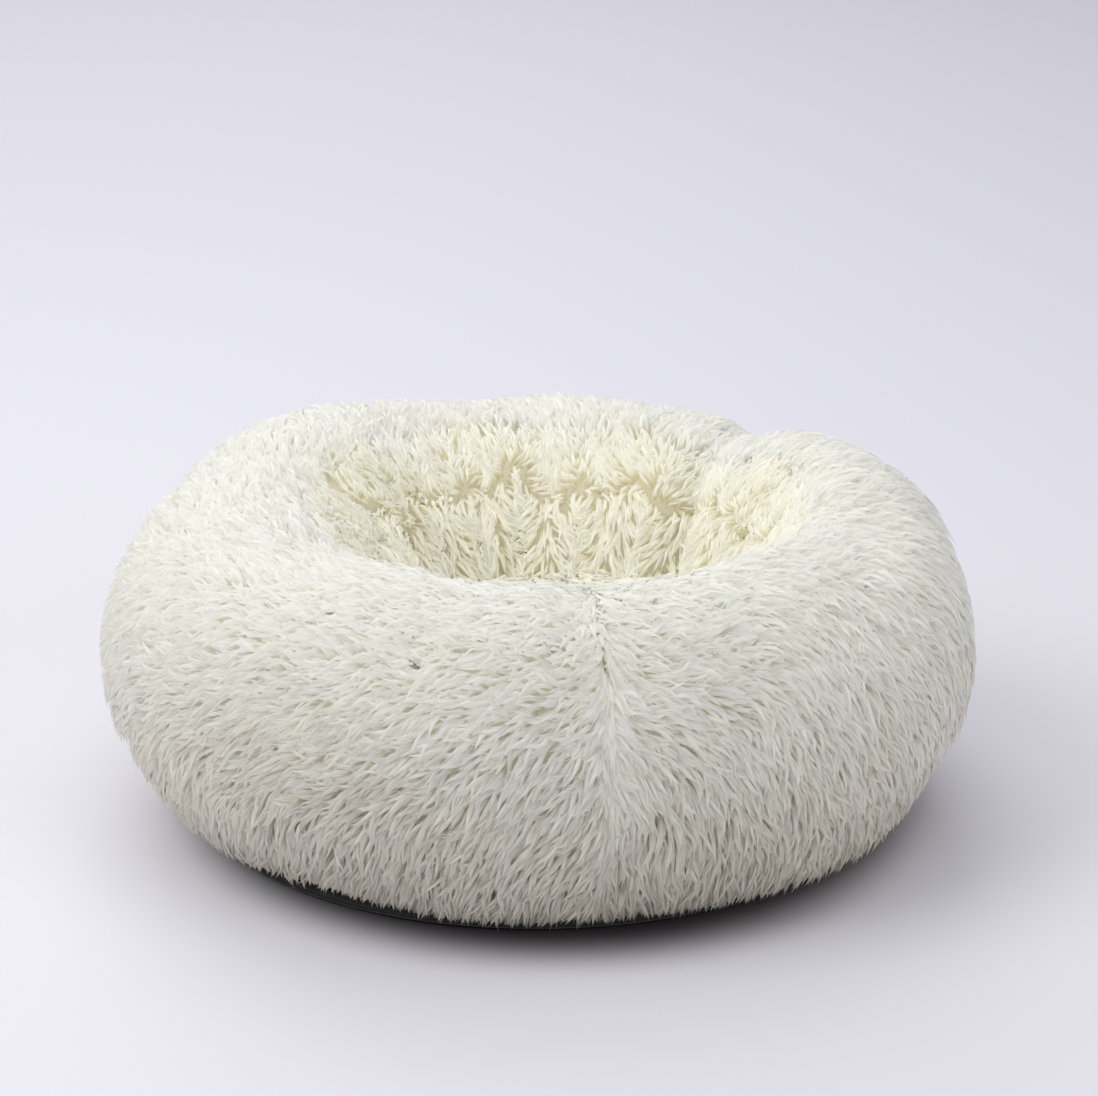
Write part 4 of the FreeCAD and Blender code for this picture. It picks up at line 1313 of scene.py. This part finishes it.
@dataclass
class Seams:
    """The three sewn lines of the ring: a low ridge with its stitches."""

    form: RingForm
    surface: GridSurface
    materials: dict
    ridge: tuple[float, float] = (0.0022, 0.0014)
    stitch_pitch: float = 0.0034

    def build(self) -> None:
        """One ridge and one row of stitches for each seam."""
        for side, azimuth in zip(("front", "right", "left"), self.form.seam_azimuths):
            self.seam(side, azimuth)

    def seam(self, side: str, azimuth: float) -> None:
        """The ridge follows the cloth from the foot to the nest, and stitches cross it."""
        turn = np.linspace(self.form.foot_turn + 0.02, self.form.nest_turn - 0.02, 160)
        place, normal, sideways = self.surface.at(np.full_like(turn, azimuth), turn)[:3]
        path = place + normal * 0.0004
        outline = rounded_outline(*self.ridge, 10, 0.7)
        ridge = mesh_piece(f"{side}_seam_ridge", *swept(path, unit(sideways), outline))
        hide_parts(f"rim_seam_{side}")
        finish_piece(ridge, self.materials[Finish.BACKING])
        length = np.concatenate([[0], np.cumsum(np.linalg.norm(np.diff(path, axis=0), axis=1))])
        at = np.interp(np.arange(0.004, length[-1] - 0.004, self.stitch_pitch), length, turn)
        place, normal, sideways = self.surface.at(np.full_like(at, azimuth), at)[:3]
        axes = np.stack([np.cross(unit(sideways), normal), normal, unit(sideways)], axis=1)
        stitches = copies(f"{side}_seam_stitches", SEAM_STITCH, place + normal * 0.0013, axes)
        finish_piece(stitches, self.materials[Finish.THREAD])


# ---- the underside

@dataclass
class Underside:
    """The base cloth with its bound edge, grip dots, label and zip."""

    materials: dict
    dot_pitch: float = 0.0095
    stitch_pitch: float = 0.0042
    label_lap: float = 0.0024
    slot_inset: float = 0.0035
    dot_rows: int = 24
    slot: tuple[float, float, float, float] = field(init=False)

    def build(self) -> None:
        """Make every cloth piece and dress the hard ones."""
        low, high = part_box("base_panel")
        hems = [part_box("zip_hem_front"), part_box("zip_hem_back")]
        left, right = hems[0][0].x + self.slot_inset, hems[1][1].x - self.slot_inset
        self.slot = (left, right, hems[0][1].y, hems[1][0].y)
        self.cloth(low.z, high.z, high.x)
        self.binding()
        self.dots(high.x)
        self.label()
        for side in ("front", "back"):
            self.hem(side)
            self.tape(side)
        for node, finish in (("zip_teeth_front", Finish.NYLON), ("zip_teeth_back", Finish.NYLON),
                             ("zip_top_stops", Finish.METAL), ("zip_bottom_stop", Finish.METAL),
                             ("zip_slider", Finish.METAL), ("zip_pull_pin", Finish.METAL),
                             ("zip_pull", Finish.METAL)):
            self.dress(node, finish)

    def dress(self, node: str, finish: Finish) -> None:
        """Give a hard part of the frame its material."""
        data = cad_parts[node].data
        data.materials.clear()
        data.materials.append(self.materials[finish])

    def cloth(self, bottom: float, top: float, radius: float) -> None:
        """The round base cloth, cut open for the zip, as a sheet from the slot's outline to the rim."""
        left, right, front, back = self.slot
        corners = [(right, back), (left, back), (left, front), (right, front), (right, back)]
        slot_points, angles = [], []
        for (x, y), (next_x, next_y), count in zip(corners[:-1], corners[1:], (110, 6, 150, 6)):
            share = np.linspace(0, 1, count, endpoint=False)
            slot_points.append(np.stack([x + (next_x - x) * share, y + (next_y - y) * share], axis=1))
            start, end = math.atan2(y, x), math.atan2(next_y, next_x)
            end += FULL_TURN if end < start else 0
            angles.append(start + (end - start) * share)
        inner = np.concatenate(slot_points)[:, None]
        turn = np.concatenate(angles)
        outer = (radius - 0.0003) * np.stack([np.cos(turn), np.sin(turn)], axis=1)[:, None]
        share = np.linspace(0, 1, 30)[None, :, None]
        flat = inner + (outer - inner) * share
        x, y = flat[..., 0], flat[..., 1]
        slack = 0.00012 * np.sin(55 * x + 31 * y) * np.sin(47 * y - 20 * x) * np.sin(math.pi * share[..., 0])
        upper = np.stack([x, y, top - 0.0002 + slack], axis=-1)[:, ::-1]
        lower = np.stack([x, y, bottom + 0.0002 + slack], axis=-1)[:, ::-1]
        piece = mesh_piece("base_cloth_disc", *shell_between(upper, lower, True))
        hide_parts("base_panel")
        finish_piece(piece, self.materials[Finish.BASE])

    def binding(self) -> None:
        """The folded tape round the edge, puckered a little by its stitches."""
        low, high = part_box("base_edge_binding")
        inner_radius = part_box("base_panel")[1].x + 0.0001
        middle, width = (high.x + inner_radius) / 2, high.x - inner_radius
        count = int(FULL_TURN * middle / self.stitch_pitch)
        path, outward = circle_path(middle, (low.z + high.z) / 2, count * 4)
        outline = rounded_outline(width, high.z - low.z, 12, 0.6)
        pucker = 1 - 0.12 * np.cos(np.arange(count * 4) * math.pi / 2)[:, None, None]
        piece = mesh_piece("edge_tape", *closed_bar(path, outward, outline, 0.89 * pucker))
        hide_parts("base_edge_binding")
        finish_piece(piece, self.materials[Finish.TAPE])
        places, outward = circle_path(middle, low.z + 0.00002, count)
        along = np.cross(UPWARD, outward)
        axes = np.stack([outward, np.cross(along, outward), along], axis=1)
        stitches = copies("edge_tape_stitches", EDGE_STITCH, places, axes)
        finish_piece(stitches, self.materials[Finish.THREAD])

    def dots(self, radius: float) -> None:
        """Small rubber domes in staggered rows, kept off the zip and off the edge."""
        low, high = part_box("grip_dots")
        rows = np.arange(-self.dot_rows, self.dot_rows + 1)
        row, column = np.meshgrid(rows, rows, indexing="ij")
        x = ((column + 0.5 * (row % 2)) * self.dot_pitch).ravel()
        y = (row * self.dot_pitch * math.sqrt(0.75)).ravel()
        left, right, front, back = self.slot
        clear_of_zip = (np.abs(y - (front + back) / 2) > 0.021) | (np.abs(x) > right + 0.012)
        kept = (np.hypot(x, y) < radius - 0.014) & clear_of_zip
        origins = np.stack([x[kept], y[kept], np.full(kept.sum(), high.z + 0.0001)], axis=1)
        downward = np.tile(np.diag([1.0, -1.0, -1.0]), (len(origins), 1, 1))
        piece = copies("grip_domes", GRIP_DOME, origins, downward)
        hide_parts("grip_dots")
        finish_piece(piece, self.materials[Finish.RUBBER])

    def label(self) -> None:
        """A blank satin strip, its inner end sewn flat under the round edge, with a slight wave outside."""
        low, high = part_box("care_label")
        edge_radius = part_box("base_edge_binding")[1].x
        across = np.linspace(low.x, high.x, 20)[:, None]
        share = np.linspace(0, 1, 30)[None, :]
        start = np.sqrt(edge_radius ** 2 - across ** 2) - self.label_lap
        x = across + 0 * share
        y = start + (high.y - start) * share
        wave = 0.00005 * np.sin(x * 420) * share
        middle = low.z + 0.00014
        upper = np.stack([x, y, middle + 0.00014 + wave], axis=-1)
        lower = np.stack([x, y, middle - 0.00014 + wave], axis=-1)
        piece = mesh_piece("label_strip", *shell_between(upper, lower, False))
        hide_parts("care_label")
        finish_piece(piece, self.materials[Finish.SATIN])

    def strip(self, node: str, name: str, squareness: float) -> tuple[bpy.types.Object, Vector, Vector]:
        """A straight flat strip in the space of a node."""
        low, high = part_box(node)
        x = np.linspace(low.x, high.x, 120)
        middle = (low + high) / 2
        path = np.stack([x, np.full_like(x, middle.y), np.full_like(x, middle.z)], axis=1)
        across = np.tile([0.0, -1.0, 0.0], (len(x), 1))
        outline = rounded_outline(high.y - low.y, high.z - low.z, 16, squareness)
        piece = mesh_piece(name, *swept(path, across, outline))
        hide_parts(node)
        return piece, low, high

    def hem(self, side: str) -> None:
        """The turned hem of the base cloth beside the zip, with its row of stitches underneath."""
        piece, low, high = self.strip(f"zip_hem_{side}", f"{side}_hem", 0.35)
        finish_piece(piece, self.materials[Finish.BASE])
        inward = high.y - 0.0025 if side == "front" else low.y + 0.0025
        x = np.arange(low.x + 0.004, high.x - 0.004, self.stitch_pitch)
        places = np.stack([x, np.full_like(x, inward), np.full_like(x, low.z - 0.00085)], axis=1)
        along = np.tile(np.array([[0, 0, -1.0], [0, 1.0, 0], [1.0, 0, 0]]), (len(x), 1, 1))
        stitches = copies(f"{side}_hem_stitches", HEM_STITCH, places, along)
        finish_piece(stitches, self.materials[Finish.THREAD])

    def tape(self, side: str) -> None:
        """The woven tape that carries the zip's teeth."""
        piece, low, high = self.strip(f"zip_tape_{side}", f"{side}_zip_tape", 0.3)
        finish_piece(piece, self.materials[Finish.ZIP_TAPE])


# ---- the studio

@dataclass(frozen=True)
class SoftLight:
    """One large soft lamp."""

    name: str
    place: tuple[float, float, float]
    width: float
    power: float
    colour: Colour


@dataclass
class Studio:
    """A pale floor with a painted contact shadow, soft lamps and the camera."""

    aim: tuple[float, float, float] = (0.0, 0.0, 0.091)
    elevation: float = math.radians(21.2)
    distance: float = 1.8
    lens: float = 102.9
    shift: tuple[float, float] = (0.0118, 0.0756)
    floor_side: float = 9.0
    floor_colour: Colour = (0.81, 0.80, 0.86)
    floor_roughness: float = 0.6
    # The painted contact shadow on the floor: its inner and outer radii, its centre, its stretch and its
    # colour.
    shade: tuple[float, float] = (0.188, 0.256)
    shade_place: tuple[float, float, float] = (-0.010, 0.008, 0.0)
    shade_scale: tuple[float, float, float] = (1.1, 1.0, 0.0)
    shade_colour: Colour = (0.05, 0.045, 0.05)
    sky_colour: Colour = (0.80, 0.80, 0.87)
    sky_strength: float = 0.45
    lamps: tuple[SoftLight, ...] = (
        SoftLight("window_left", (-1.7, -0.5, 1.8), 1.4, 24.0, (1.0, 1.0, 0.98)),
        SoftLight("ceiling", (-0.1, 0.2, 2.2), 2.2, 12.0, (0.99, 1.0, 0.99)),
        SoftLight("right_fill", (1.9, -1.3, 1.2), 1.4, 12.0, (1.0, 1.0, 0.99)),
        SoftLight("back_wash", (-0.7, 2.8, 2.4), 2.4, 36.0, (0.98, 0.98, 1.0)),
    )

    def build(self) -> None:
        """Set up the floor, the lamps, the surroundings and the camera."""
        self.floor()
        for lamp in self.lamps:
            self.light(lamp)
        self.surroundings()
        self.camera()

    def floor(self) -> None:
        """A wide flat floor with a painted contact shadow under the bed."""
        side = self.floor_side
        points = np.array([(-side, -side, 0), (side, -side, 0), (side, side, 0), (-side, side, 0)], float)
        floor = mesh_piece("studio_floor", points, [np.array([[0, 1, 2, 3]])], smooth=False)
        floor.data.materials.append(self.floor_paint())

    def floor_paint(self) -> bpy.types.Material:
        """Pale lavender, with a painted contact shadow: darkened softly round the bed, out to just past its
        widest line.
        """
        material, sheet, shader = new_material("pale_floor")
        place = sheet.add("ShaderNodeTexCoord").outputs["Object"]
        # Painted shadow: the floor's place, moved and stretched to the shadow's centre.
        shadow_mapped = sheet.add("ShaderNodeMapping", {"Vector": place, "Location": self.shade_place,
                                                  "Scale": self.shade_scale}).outputs[0]
        reach = sheet.add("ShaderNodeVectorMath", {0: shadow_mapped}, operation="LENGTH").outputs["Value"]
        away = sheet.add("ShaderNodeMapRange", {"Value": reach, "From Min": self.shade[0],
                                                "From Max": self.shade[1]},
                         interpolation_type="SMOOTHERSTEP").outputs[0]
        colour = sheet.mix(away, opaque(self.shade_colour), opaque(self.floor_colour))
        sheet.fill(shader, {"Base Color": colour, "Roughness": self.floor_roughness})
        return material

    def light(self, lamp: SoftLight) -> None:
        """A square area lamp that faces the bed."""
        data = bpy.data.lights.new(lamp.name, "AREA")
        data.shape = "SQUARE"
        data.size = lamp.width
        data.energy = lamp.power
        data.color = lamp.colour
        item = linked(lamp.name, data)
        item.location = lamp.place
        item.rotation_euler = (Vector(self.aim) - Vector(lamp.place)).to_track_quat("-Z", "Y").to_euler()

    def surroundings(self) -> None:
        """Even pale lavender light from all round."""
        world = bpy.data.worlds.new("pale_surroundings")
        world.use_nodes = True
        background = next(node for node in world.node_tree.nodes if node.type == "BACKGROUND")
        background.inputs["Color"].default_value = opaque(self.sky_colour)
        background.inputs["Strength"].default_value = self.sky_strength
        bpy.context.scene.world = world
        bpy.context.scene.view_settings.view_transform = "Standard"

    def camera(self) -> None:
        """Look at the bed's front from a little above."""
        data = bpy.data.cameras.new("camera")
        data.lens = self.lens
        data.sensor_width = 36.0
        data.shift_x, data.shift_y = self.shift
        camera = linked("camera", data)
        back = Vector((0, -math.cos(self.elevation), math.sin(self.elevation)))
        camera.location = Vector(self.aim) + back * self.distance
        camera.rotation_euler = (-back).to_track_quat("-Z", "Y").to_euler()
        bpy.context.scene.camera = camera


# ---- putting it together


def main() -> None:
    """Dress the frame piece by piece, then set up the studio."""
    logging.basicConfig(level=logging.INFO, format="%(name)s: %(message)s")
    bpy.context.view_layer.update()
    effects = SharedEffects()
    materials = {finish: finish.value.build(effects) for finish in Finish}
    plush = PlushFinish("ivory_plush").build()
    form = RingForm.from_frame()
    surface = ClothSwell().run(form, CLOTH_INSET)
    Ring(form, plush, materials[Finish.BACKING], surface).build()
    Nest(form, plush, materials[Finish.BACKING]).build()
    Stuffing(form, materials).build()
    Seams(form, surface, materials).build()
    Underside(materials).build()
    Studio().build()


if __name__ == "__main__":
    main()
